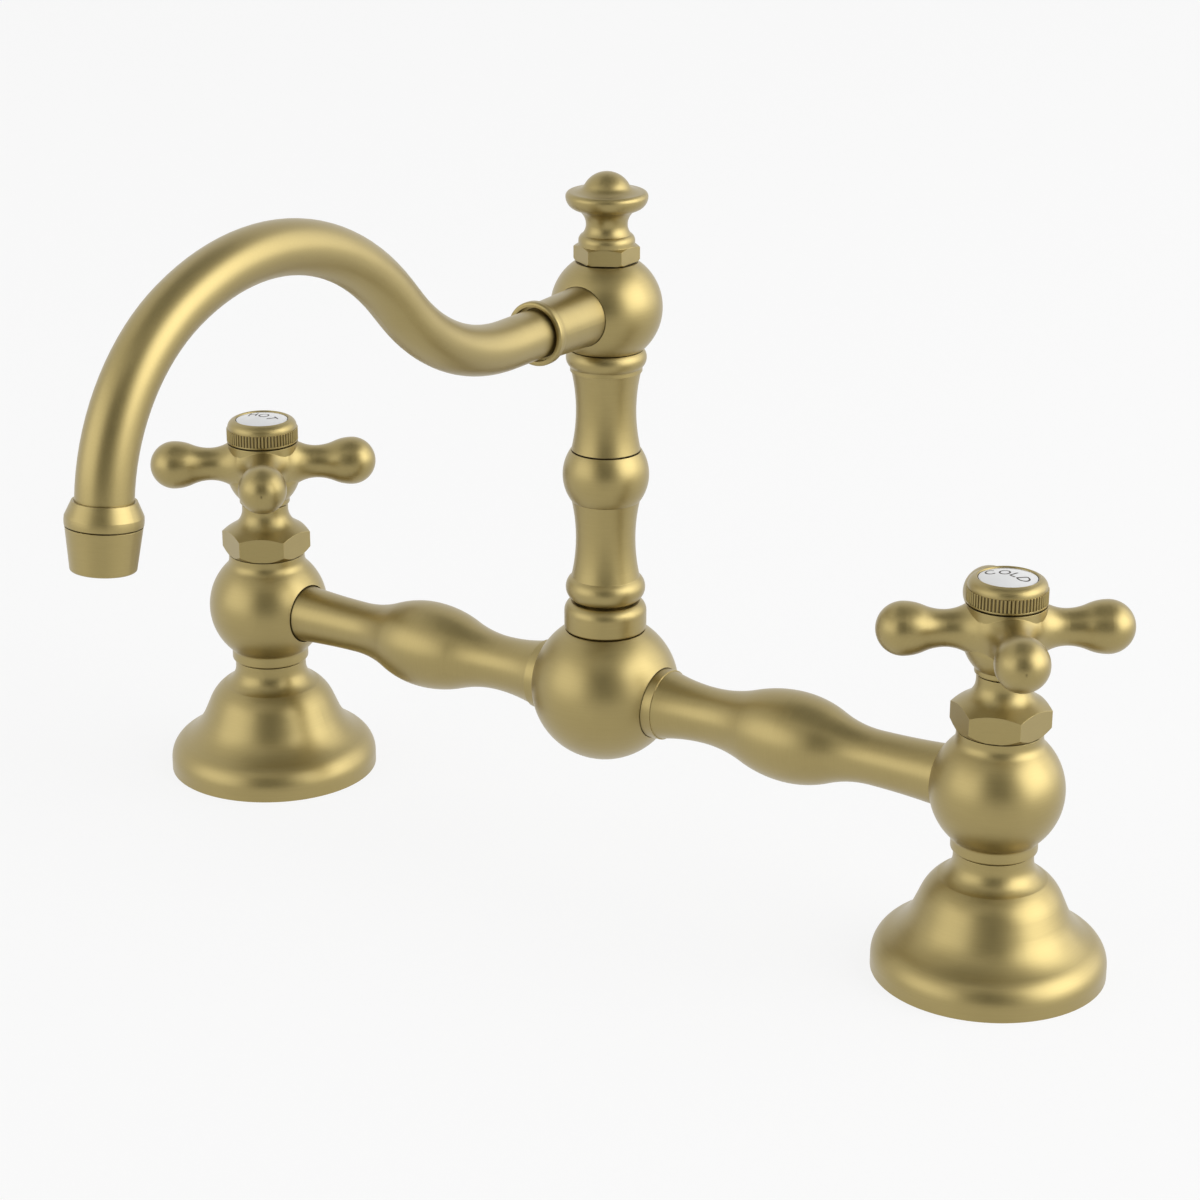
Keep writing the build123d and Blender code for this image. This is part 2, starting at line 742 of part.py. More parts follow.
def handle_screw():
    """Slotted screw that holds the handle on the stem."""
    head_top = screw_seat + screw_head_height
    screw = rod(screw_radius, screw_seat - screw_length, screw_seat)
    screw += rod(screw_head_radius, screw_seat, head_top)
    slot = Box(2 * screw_head_radius, screw_slot_width, screw_slot_depth)
    return screw - Pos(0, 0, head_top - screw_slot_depth / 2) * slot


def index_ring():
    """Cap ring: threaded spigot, knurled band, rounded shoulder and a seat for the disc."""
    band_foot = ring_foot + ring_land_height
    band_top = band_foot + ring_knurl_height
    root = ring_radius - ring_knurl_depth
    bore = ring_thread_radius - ring_wall
    ring = Outline(bore, ring_foot - ring_thread_length)
    ring.line(ring_thread_radius, ring_foot - ring_thread_length)
    ring.line(ring_thread_radius, ring_foot).line(ring_radius - ring_foot_round, ring_foot)
    ring.arrive(ring_radius, ring_foot + ring_foot_round)
    ring.line(ring_radius, band_foot).line(root, band_foot).line(root, band_top)
    ring.leave(ring_crest_radius, ring_top)
    ring.arrive(ring_lip_radius, ring_top - ring_lip_drop)
    ring.line(ring_lip_radius, disc_seat).line(bore, disc_seat)
    return ring.spin()


def index_disc():
    """Domed porcelain disc."""
    radius = ring_lip_radius - seat_play
    disc_foot = disc_seat + face_play
    disc = Outline(0, disc_foot).line(radius, disc_foot).line(radius, disc_foot + porcelain_edge)
    return disc.crown(disc_foot + porcelain_edge + porcelain_crown).spin()


def bridge_arm():
    """Turned tube along +X from the hub to the cold valve, with a spigot at each end."""
    spigot_start = lip_seat - arm_spigot_length
    spigot_end = arm_end + arm_spigot_length
    tube = Outline(0, spigot_start).line(arm_spigot_radius, spigot_start)
    tube.line(arm_spigot_radius, lip_seat).line(lip_radius, lip_seat)
    tube.line(lip_radius, lip_end).line(lip_radius - lip_step, lip_end)
    tube.arrive(hub_waist_radius, lip_end + hub_waist_at * turned_length)
    tube.ogee(swell_radius, lip_end + swell_at * turned_length)
    tube.ogee(valve_waist_radius, lip_end + valve_waist_at * turned_length)
    tube.leave(arm_mouth_radius, arm_end)
    tube.line(arm_spigot_radius, arm_end).line(arm_spigot_radius, spigot_end)
    solid = tube.line(0, spigot_end).spin() - rod(water_bore_radius, spigot_start, spigot_end)
    for reach in arm_ring_reaches():
        solid -= groove(arm_spigot_radius, arm_groove_depth, arm_spigot_radius + seat_play, reach)
    return Pos(0, 0, bridge_axis) * Rot(0, 90, 0) * solid


def arm_ring_reaches():
    """Middles of the two O-rings of an arm, from the column's axis."""
    return lip_seat - arm_spigot_length / 2, arm_end + arm_spigot_length / 2


def arm_ring(reach):
    """O-ring on a spigot of the bridge arm."""
    bore = arm_spigot_radius + seat_play
    ring = rubber_ring(arm_spigot_radius, arm_groove_depth, bore, reach)
    return Pos(0, 0, bridge_axis) * Rot(0, 90, 0) * ring


def bridge_hub():
    """Ball with a seat for each arm and a threaded neck that carries the swivel."""
    ball = Outline(0, hub_centre - hub_radius)
    ball.through(hub_face_radius, hub_face, hub_radius, hub_centre)
    ball.line(hub_neck_radius, hub_face).line(hub_neck_radius, hub_top).line(0, hub_top)
    port_radius = arm_spigot_radius + seat_play
    solid = ball.spin()
    solid -= rod(swivel_spigot_radius + running_play, bridge_axis - port_radius - end_play, hub_top)
    for turn in (0, 180):
        seat = cross_bore(lip_radius + seat_play, hub_seat_reach, hub_radius, bridge_axis)
        port = cross_bore(port_radius, 0, hub_seat_reach, bridge_axis)
        solid -= Rot(0, 0, turn) * (seat + port)
    return solid


def collar_nut():
    """Round nut on the hub's neck, with a lip over the swivel's flange."""
    bore = hub_neck_radius + thread_play
    hole = swivel_shank_radius + seat_play
    nut = Outline(bore, collar_foot).line(collar_radius - collar_foot_round, collar_foot)
    nut.arrive(collar_radius, collar_foot + collar_foot_round)
    nut.line(collar_radius, collar_top - collar_shoulder_height)
    nut.leave(collar_top_radius, collar_top).line(hole, collar_top)
    nut.line(hole, collar_ceiling).line(bore, collar_ceiling)
    return nut.spin()


def friction_washer():
    """Slip washer between the hub's neck and the swivel's flange."""
    bore = swivel_spigot_radius + seat_play
    return sleeve(swivel_flange_radius, bore, hub_top, hub_top + washer_thickness)


def swivel_ring_heights():
    """Middles of the two O-rings of the swivel."""
    first = swivel_flange_foot - swivel_groove_drop
    return first, first - swivel_groove_drop


def swivel():
    """Tail of the column: spigot with two grooves, flange, shank and a stud on top."""
    bore = swivel_spigot_radius + running_play
    spigot_foot = swivel_flange_foot - swivel_spigot_length
    flange_top = swivel_flange_foot + swivel_flange_thickness
    stud_top = column_foot + column_thread_length
    tail = rod(swivel_spigot_radius, spigot_foot, swivel_flange_foot)
    for height in swivel_ring_heights():
        tail -= groove(swivel_spigot_radius, swivel_groove_depth, bore, height)
    tail += rod(swivel_flange_radius, swivel_flange_foot, flange_top)
    tail += rod(swivel_shank_radius, flange_top, column_foot)
    tail += rod(column_thread_radius, column_foot, stud_top)
    return tail - rod(water_bore_radius, spigot_foot, stud_top)


def swivel_ring(height):
    """O-ring that seals the swivel in the hub."""
    bore = swivel_spigot_radius + running_play
    return rubber_ring(swivel_spigot_radius, swivel_groove_depth, bore, height)


def lower_column():
    """Bead, cove and middle ball, with a stud on top."""
    bead_top = column_foot + lower_bead_height
    cove_top = lower_cove_foot + lower_cove_height
    stud_top = lower_column_top + stud_length
    column = Outline(0, column_foot).line(lower_bead_foot_radius, column_foot)
    column.bow(lower_bead_top_radius, bead_top, lower_bead_radius)
    column.line(lower_bead_top_radius - bead_step, lower_cove_foot)
    column.bow(mid_ball_neck_radius - bead_step, cove_top, lower_cove_radius)
    column.line(mid_ball_neck_radius, mid_ball_foot)
    column.bow(mid_ball_neck_radius, lower_column_top, mid_ball_radius)
    column.line(stud_radius, lower_column_top).line(stud_radius, stud_top).line(0, stud_top)
    socket_top = column_foot + column_thread_length + end_play
    thread = rod(column_thread_radius + thread_play, column_foot, socket_top)
    return column.spin() - thread - rod(water_bore_radius, column_foot, stud_top)


def upper_column():
    """Cove, step and bead, with a stud on top."""
    bead_foot = upper_step_foot + upper_step_height + bead_step
    stud_top = upper_column_top + stud_length
    column = Outline(0, upper_column_foot)
    column.line(mid_ball_neck_radius - bead_step, upper_column_foot)
    column.bow(upper_step_radius - bead_step, upper_step_foot, upper_cove_radius)
    column.line(upper_step_radius, upper_step_foot)
    column.line(upper_step_radius, upper_step_foot + upper_step_height)
    column.line(upper_bead_foot_radius, bead_foot)
    column.bow(upper_bead_foot_radius, upper_column_top, upper_bead_radius)
    column.line(stud_radius, upper_column_top).line(stud_radius, stud_top).line(0, stud_top)
    socket_top = upper_column_foot - seam + stud_length + end_play
    thread = rod(stud_radius + thread_play, upper_column_foot, socket_top)
    return column.spin() - thread - rod(water_bore_radius, upper_column_foot, stud_top)


def spout_ball():
    """Ball on top of the column, with ports for the column, the finial and the spout."""
    ball = Outline(0, spout_ball_foot).line(spout_ball_foot_radius, spout_ball_foot)
    ball.through(spout_ball_top_radius, spout_ball_top, spout_ball_radius, spout_axis)
    ball.line(0, spout_ball_top)
    stud_room = spout_ball_foot - seam + stud_length + end_play
    finial_room = spout_ball_top - finial_thread_length - end_play
    seat = rod(socket_root_radius + face_play, socket_seat_reach, spout_ball_radius)
    port = rod(socket_spigot_radius + thread_play, 0, socket_seat_reach)
    solid = ball.spin() - rod(stud_radius + thread_play, spout_ball_foot, stud_room)
    solid -= rod(water_bore_radius, spout_ball_foot, spout_axis)
    solid -= rod(finial_thread_radius + thread_play, finial_room, spout_ball_top)
    return solid - Pos(0, 0, spout_axis) * Rot(90, 0, 0) * (seat + port)


def finial():
    """Hexagon, waisted neck and mushroom cap, with a stud below."""
    corner = corner_radius(finial_flats) + corner_trim
    hex_top = finial_foot + finial_hex_height
    turned = Outline(0, finial_foot).line(corner - finial_chamfer, finial_foot)
    turned.line(corner, finial_foot + finial_chamfer).line(corner, hex_top - finial_chamfer)
    turned.line(corner - 2 * finial_chamfer, hex_top).line(0, hex_top)
    nut = turned.spin() & hexagon(finial_flats, finial_foot, hex_top)
    bead_foot = hex_top + finial_ring_height
    bead_top = bead_foot + finial_bead_height
    neck = bead_top + finial_lower_neck_height
    cup_foot = neck + finial_upper_neck_height
    rim = cup_foot + finial_cup_height
    rim_top = rim + finial_rim_round
    dome_foot = rim_top + finial_dome_foot_rise
    cap = Outline(0, hex_top).line(finial_ring_radius, hex_top)
    cap.line(finial_ring_radius, bead_foot).leave(finial_bead_top_radius, bead_top)
    cap.arrive(finial_neck_radius, neck).leave(finial_cup_radius, cup_foot)
    cap.arrive(finial_rim_radius, rim).leave(finial_rim_radius - finial_rim_round, rim_top)
    cap.swell(finial_dome_radius, dome_foot, -finial_dome_hollow).ease(finial_dome_fillet)
    cap.crown(dome_foot + finial_dome_height)
    stud_foot = finial_foot - seam - finial_thread_length
    stud = rod(finial_thread_radius, stud_foot, finial_foot)
    bore = finial_thread_radius + thread_play
    ring_groove = groove(finial_thread_radius, finial_groove_depth, bore, finial_seal_height())
    return nut + cap.spin() + stud - ring_groove


def finial_seal_height():
    """Middle of the finial's O-ring, near the top of its stud."""
    return spout_ball_top - finial_seal_drop


def finial_seal():
    """O-ring on the finial's stud."""
    bore = finial_thread_radius + thread_play
    return rubber_ring(finial_thread_radius, finial_groove_depth, bore, finial_seal_height())


def spout_socket():
    """Tapered socket with a rim bead, screwed into the ball towards -Y."""
    spigot_foot = socket_seat - socket_spigot_length
    bead_foot = socket_taper_end + socket_fillet_width
    bore = tube_radius + face_play
    body = Outline(0, spigot_foot).line(socket_spigot_radius, spigot_foot)
    body.line(socket_spigot_radius, socket_seat).line(socket_root_radius, socket_seat)
    body.line(socket_end_radius, socket_taper_end)
    body.line(socket_fillet_radius, socket_taper_end).line(socket_fillet_radius, bead_foot)
    body.arrive(rim_bead_radius, bead_foot + rim_bead_round)
    body.line(rim_bead_radius, socket_end - rim_bead_round)
    body.leave(rim_bead_radius - rim_bead_round, socket_end).line(0, socket_end)
    solid = body.spin() - rod(bore, tube_start - face_play, socket_end)
    solid -= rod(bore + socket_mouth_gap, socket_end - socket_mouth_depth, socket_end)
    solid -= rod(tube_radius - tube_wall, spigot_foot, socket_end)
    return Pos(0, 0, spout_axis) * Rot(90, 0, 0) * solid


def spout_route():
    """Centre line of the gooseneck, from inside the socket to the outlet."""
    route = Route(tube_start, spout_axis).run(tube_grip + tube_lead)
    route.bend(rise_radius, rise_angle).run(slope_run).bend(arch_radius, -arch_angle)
    drop = 90 - outlet_tilt + route.climb
    return route.bend(drop_radius, -drop).run(outlet_run)


def spout_tube(route):
    """Gooseneck tube."""
    start = Plane(origin=(0, -tube_start, spout_axis), z_dir=(0, -1, 0))
    ring = start * (Circle(tube_radius) - Circle(tube_radius - tube_wall))
    return sweep(ring, Wire(route.edges))


def at_outlet(route, solid):
    """Place a solid drawn on the outlet's axis: its z = 0 is the end of the tube, +Z runs back."""
    return Plane(origin=route.end, x_dir=(1, 0, 0), z_dir=route.ahead() * -1).location * solid


# Heights on the outlet's axis, from the end of the tube
outlet_lip = outlet_grip
outlet_foot = outlet_lip - outlet_cone_height - outlet_band_height
nipple_foot = outlet_foot - nipple_length
aerator_top = outlet_foot - seam
aerator_foot = aerator_top - aerator_height
aerator_washer_top = nipple_foot - face_play
insert_top = aerator_washer_top - aerator_washer_height - face_play
insert_foot = aerator_foot + aerator_lip + face_play


def outlet_collar():
    """Flared collar on the tip of the tube, with a threaded nipple below."""
    collar = Outline(0, nipple_foot).line(nipple_radius, nipple_foot)
    collar.line(nipple_radius, outlet_foot).line(outlet_cone_radius, outlet_foot)
    collar.bow(outlet_cone_radius, outlet_foot + outlet_band_height, outlet_radius)
    collar.line(outlet_lip_radius, outlet_lip).line(0, outlet_lip)
    solid = collar.spin() - rod(tube_radius + face_play, -face_play, outlet_lip)
    return solid - rod(nipple_bore_radius, nipple_foot, outlet_lip)


def aerator_shell():
    """Tapered housing screwed on the nipple, with a lip that holds the insert."""
    shell = Outline(0, aerator_foot).line(aerator_foot_radius - aerator_round, aerator_foot)
    shell.arrive(aerator_foot_radius, aerator_foot + aerator_round)
    shell.line(aerator_top_radius, aerator_top).line(0, aerator_top)
    solid = shell.spin() - rod(aerator_lip_radius, aerator_foot, aerator_top)
    solid -= rod(aerator_bore_radius, aerator_foot + aerator_lip, aerator_top)
    return solid - rod(nipple_radius + thread_play, insert_top, aerator_top)


def aerator_washer():
    """Rubber washer between the nipple and the insert."""
    washer_foot = aerator_washer_top - aerator_washer_height
    return sleeve(nipple_radius - face_play, nipple_bore_radius, washer_foot, aerator_washer_top)


def aerator_insert():
    """Perforated cup that breaks the water into jets."""
    plate_top = insert_foot + insert_plate
    outer = aerator_bore_radius - insert_play
    cup = rod(outer, insert_foot, insert_top)
    cup -= rod(outer - insert_wall, plate_top, insert_top)
    for ring in range(insert_hole_rings + 1):
        for place in range(max(1, 6 * ring)):
            turn = Rot(0, 0, 60 * place / max(1, ring))
            hole = rod(insert_hole_radius, insert_foot, plate_top)
            cup -= turn * Pos(ring * insert_hole_pitch, 0, 0) * hole
    return cup


def valve_pieces(side, place, handle_angle, bonnet_turn):
    """Every piece of one valve, named after its side and put in its place."""
    turned = Rot(0, 0, handle_angle)
    fixed = {
        "base": base(),
        "base_gasket": base_gasket(),
        "shank": shank(),
        "rubber_washer": deck_washer(rubber_washer_radius, steel_washer_top, rubber_washer_thickness),
        "steel_washer": deck_washer(steel_washer_radius, nut_top, steel_washer_thickness),
        "lock_nut": lock_nut(),
        "valve_body": valve_body(),
        "seat_seal": seat_seal(),
        "cartridge": cartridge(),
        "fixed_disc": fixed_disc(),
        "bonnet_nut": Rot(0, 0, bonnet_turn) * bonnet_nut(),
    }
    moving = {
        "moving_disc": moving_disc(),
        "stem": stem(),
        "stem_ring": stem_ring(),
        "handle": turned * handle(),
        "handle_screw": turned * handle_screw(),
        "index_ring": index_ring(),
        "index_disc": index_disc(),
    }
    return {f"{side}_{name}": place * solid for name, solid in (fixed | moving).items()}


def bridge_pieces():
    """The two arms with their rings, the hub and what keeps the swivel in it."""
    pieces = {
        "bridge_hub": bridge_hub(),
        "collar_nut": collar_nut(),
        "friction_washer": friction_washer(),
    }
    hub_ring, valve_ring = arm_ring_reaches()
    for side, place in (("hot", Rot(0, 0, 180)), ("cold", Rot(0, 0, 0))):
        pieces[f"{side}_bridge_arm"] = place * bridge_arm()
        pieces[f"{side}_arm_hub_ring"] = place * arm_ring(hub_ring)
        pieces[f"{side}_arm_valve_ring"] = place * arm_ring(valve_ring)
    return pieces


def spout_pieces():
    """Everything that swivels on the bridge."""
    route = spout_route()
    tube = spout_tube(route)
    section = pi * (tube_radius**2 - (tube_radius - tube_wall) ** 2)
    print(f"spout tube: volume {tube.volume:.1f}, section times length {section * route.length:.1f}")
    first_ring, second_ring = swivel_ring_heights()
    return {
        "swivel": swivel(),
        "swivel_upper_ring": swivel_ring(first_ring),
        "swivel_lower_ring": swivel_ring(second_ring),
        "lower_column": lower_column(),
        "upper_column": upper_column(),
        "spout_ball": spout_ball(),
        "finial": finial(),
        "finial_seal": finial_seal(),
        "spout_socket": spout_socket(),
        "spout_tube": tube,
        "outlet_collar": at_outlet(route, outlet_collar()),
        "aerator_shell": at_outlet(route, aerator_shell()),
        "aerator_washer": at_outlet(route, aerator_washer()),
        "aerator_insert": at_outlet(route, aerator_insert()),
    }


hot_place = Pos(-bridge_half, 0, 0)
cold_place = Pos(bridge_half, 0, 0) * Rot(0, 0, 180)
parts = valve_pieces("hot", hot_place, hot_handle_angle, hot_bonnet_turn)
parts |= valve_pieces("cold", cold_place, cold_handle_angle, cold_bonnet_turn)
parts |= bridge_pieces()
parts |= spout_pieces()

os.makedirs("parts", exist_ok=True)
for name, solid in parts.items():
    export_step(solid, f"parts/{name}.step")
print(len(parts), "parts written")
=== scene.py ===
"""Bridge bathroom faucet, dressed: finishes, knurled index rings, lettered discs and a studio.

Metres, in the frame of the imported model: +Z is up, z = 0 is the top of the deck, the bridge runs
along X with the cold valve at +X, and the spout points to -Y.
"""

from dataclasses import dataclass, field
from enum import Enum
import logging
from math import cos, pi, radians, sin

import bmesh
import bpy
from mathutils import Matrix, Vector
from mathutils.bvhtree import BVHTree


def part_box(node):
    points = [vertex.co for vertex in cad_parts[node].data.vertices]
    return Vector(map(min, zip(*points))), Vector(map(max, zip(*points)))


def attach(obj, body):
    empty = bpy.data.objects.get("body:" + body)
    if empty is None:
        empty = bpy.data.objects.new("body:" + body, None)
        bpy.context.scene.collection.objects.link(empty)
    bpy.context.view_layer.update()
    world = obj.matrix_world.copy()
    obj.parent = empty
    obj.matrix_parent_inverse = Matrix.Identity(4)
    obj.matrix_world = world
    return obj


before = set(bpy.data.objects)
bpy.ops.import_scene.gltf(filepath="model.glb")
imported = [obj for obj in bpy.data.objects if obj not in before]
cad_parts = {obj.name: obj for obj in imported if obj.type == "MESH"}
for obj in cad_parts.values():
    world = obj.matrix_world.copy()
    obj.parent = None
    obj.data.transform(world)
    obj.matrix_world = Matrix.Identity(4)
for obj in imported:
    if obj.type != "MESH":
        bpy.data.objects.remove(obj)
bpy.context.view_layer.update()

log = logging.getLogger("bridge_faucet")

Colour = tuple[float, float, float]
Point = tuple[float, float, float]
Range = tuple[float, float]
Feed = bpy.types.NodeSocket | float | int | tuple | None

MM = 0.001
WHITE = (1.0, 1.0, 1.0, 1.0)
BEVEL_SAMPLES = 4


@dataclass(frozen=True)
class Lathe:
    """Centre line that a piece was turned about, which its brush marks go round.

    It passes through centre, and turn holds the degrees that turn +Z onto it.
    """

    centre: Point = (0.0, 0.0, 0.0)
    turn: Point = (0.0, 0.0, 0.0)


class Board:
    """Node tree with short calls that add a node, set it and feed it."""

    def __init__(self, tree: bpy.types.NodeTree) -> None:
        """Keep the tree that the nodes go into."""
        self.tree = tree

    def add(self, kind: str, feeds: dict[str | int, Feed] | None = None,
            **settings: object) -> bpy.types.Node:
        """Add a node.

        Args:
            kind: the node's type in Blender.
            feeds: what goes into its inputs, by name or place: another node's output, or a value.
            settings: the node's own properties.

        Returns:
            The new node.
        """
        node = self.tree.nodes.new(kind)
        for name, value in settings.items():
            setattr(node, name, value)
        for name, feed in (feeds or {}).items():
            if isinstance(feed, bpy.types.NodeSocket):
                self.tree.links.new(feed, node.inputs[name])
            else:
                node.inputs[name].default_value = feed
        return node

    def math(self, operation: str, *feeds: Feed, clamp: bool = False) -> bpy.types.NodeSocket:
        """Output of a Math node with these inputs, held between 0 and 1 if clamp is set."""
        node = self.add("ShaderNodeMath", dict(enumerate(feeds)), operation=operation, use_clamp=clamp)
        return node.outputs[0]

    def vector(self, operation: str, *feeds: Feed) -> bpy.types.Node:
        """Vector Math node with these inputs."""
        return self.add("ShaderNodeVectorMath", dict(enumerate(feeds)), operation=operation)

    def combine(self, x: Feed = 0.0, y: Feed = 0.0, z: Feed = 0.0) -> bpy.types.NodeSocket:
        """Vector made of three numbers."""
        return self.add("ShaderNodeCombineXYZ", {0: x, 1: y, 2: z}).outputs[0]

    def spread(self, value: bpy.types.NodeSocket, low: float, high: float) -> bpy.types.NodeSocket:
        """Value from 0 to 1 laid between two others."""
        feeds = {"Value": value, "To Min": low, "To Max": high}
        return self.add("ShaderNodeMapRange", feeds).outputs["Result"]


class Paint(Board):
    """Shader tree of one material, with the patterns that the finishes share."""

    def __init__(self, name: str) -> None:
        """Start a material with an empty tree.

        Args:
            name: the material's name.
        """
        self.material = bpy.data.materials.new(name)
        self.material.use_nodes = True
        super().__init__(self.material.node_tree)
        self.tree.nodes.clear()

    def place(self, lathe: Lathe = Lathe()) -> bpy.types.NodeSocket:
        """Object coordinates measured from a centre line.

        Args:
            lathe: the centre line.

        Returns:
            The coordinates, with the centre line along Z.
        """
        source = self.add("ShaderNodeTexCoord").outputs["Object"]
        turn = tuple(map(radians, lathe.turn))
        feeds = {"Vector": source, "Location": lathe.centre, "Rotation": turn}
        return self.add("ShaderNodeMapping", feeds, vector_type="TEXTURE").outputs["Vector"]

    def flattened(self, where: Feed) -> bpy.types.NodeSocket:
        """Coordinates without their height."""
        return self.vector("MULTIPLY", where, (1.0, 1.0, 0.0)).outputs["Vector"]

    def reach(self, where: Feed) -> bpy.types.NodeSocket:
        """Distance from the Z axis."""
        return self.vector("LENGTH", self.flattened(where)).outputs["Value"]

    def height(self, where: Feed) -> bpy.types.NodeSocket:
        """Height along the Z axis."""
        return self.add("ShaderNodeSeparateXYZ", {0: where}).outputs["Z"]

    def noise(self, where: Feed, size: float, detail: float) -> bpy.types.NodeSocket:
        """Soft cloud of values from 0 to 1, with spots of about the given size in metres."""
        feeds = {"Vector": where, "Scale": 1 / size, "Detail": detail}
        return self.add("ShaderNodeTexNoise", feeds).outputs["Fac"]

    def turned(self, where: Feed, pitch: float, sweep: float) -> bpy.types.NodeSocket:
        """Fine arcs round the Z axis, as a lathe's cloth leaves them.

        Args:
            where: coordinates with the centre line along Z.
            pitch: distance from one arc to the next, in metres.
            sweep: how many arcs follow one another in a radian.

        Returns:
            Values from 0 to 1.
        """
        way = self.vector("NORMALIZE", self.flattened(where)).outputs["Vector"]
        around = self.add("ShaderNodeSeparateXYZ", {0: way})
        across = self.math("MULTIPLY", around.outputs["X"], sweep)
        along = self.math("MULTIPLY", around.outputs["Y"], sweep)
        out = self.math("DIVIDE", self.reach(where), pitch)
        up = self.math("DIVIDE", self.height(where), pitch)
        feeds = {"Vector": self.combine(out, up, across), "W": along, "Scale": 1.0, "Detail": 2.0}
        return self.add("ShaderNodeTexNoise", feeds, noise_dimensions="4D").outputs["Fac"]

    def weigh(self, first: Feed, second: Feed, share: float) -> bpy.types.NodeSocket:
        """Pattern that holds the given share of the first and the rest of the second."""
        rest = self.math("MULTIPLY", second, 1 - share)
        return self.math("ADD", self.math("MULTIPLY", first, share), rest)

    def rounded(self, width: float) -> bpy.types.NodeSocket:
        """Normal of a surface whose corners are rounded over the given width, in metres."""
        return self.add("ShaderNodeBevel", {"Radius": width}, samples=BEVEL_SAMPLES).outputs["Normal"]

    def rubbed_edges(self, width: float, strength: float) -> bpy.types.NodeSocket:
        """Mask that rises to 1 where the surface turns a corner.

        Args:
            width: how far from the corner it reaches, in metres.
            strength: how fast it rises.

        Returns:
            Values from 0 to 1.
        """
        normal = self.add("ShaderNodeNewGeometry").outputs["Normal"]
        together = self.vector("DOT_PRODUCT", self.rounded(width), normal).outputs["Value"]
        apart = self.math("SUBTRACT", 1.0, together)
        return self.math("MULTIPLY", apart, strength, clamp=True)

    def blend(self, share: Feed, low: Feed, high: Feed) -> bpy.types.NodeSocket:
        """Colour between two others.

        Args:
            share: how much of the second it holds, from 0 to 1.
            low: the first colour.
            high: the second colour.

        Returns:
            The colour.
        """
        ends = [feed if isinstance(feed, bpy.types.NodeSocket) else (*feed, 1.0) for feed in (low, high)]
        feeds = {0: share, 6: ends[0], 7: ends[1]}
        return self.add("ShaderNodeMix", feeds, data_type="RGBA").outputs[2]

    def relief(self, height: Feed, depth: float, under: Feed = None) -> bpy.types.NodeSocket:
        """Normal of a surface that rises and falls.

        Args:
            height: the pattern that it follows, from 0 to 1.
            depth: how deep it is, in metres.
            under: normal of the surface below it, where that isn't the mesh's own.

        Returns:
            The bumped normal.
        """
        feeds = {"Height": height, "Distance": depth, "Strength": 1.0}
        if under is not None:
            feeds["Normal"] = under
        return self.add("ShaderNodeBump", feeds).outputs["Normal"]

    def finish(self, colour: Feed, roughness: Feed, normal: Feed,
               **fixed: float) -> bpy.types.Material:
        """Close the tree with a Principled shader.

        Args:
            colour: base colour.
            roughness: roughness.
            normal: bumped normal.
            fixed: other inputs that are the same all over, with underscores for spaces.

        Returns:
            The finished material.
        """
        feeds: dict[str | int, Feed] = {"Base Color": colour, "Roughness": roughness, "Normal": normal}
        feeds.update({name.replace("_", " "): value for name, value in fixed.items()})
        shader = self.add("ShaderNodeBsdfPrincipled", feeds)
        self.add("ShaderNodeOutputMaterial", {"Surface": shader.outputs["BSDF"]})
        return self.material


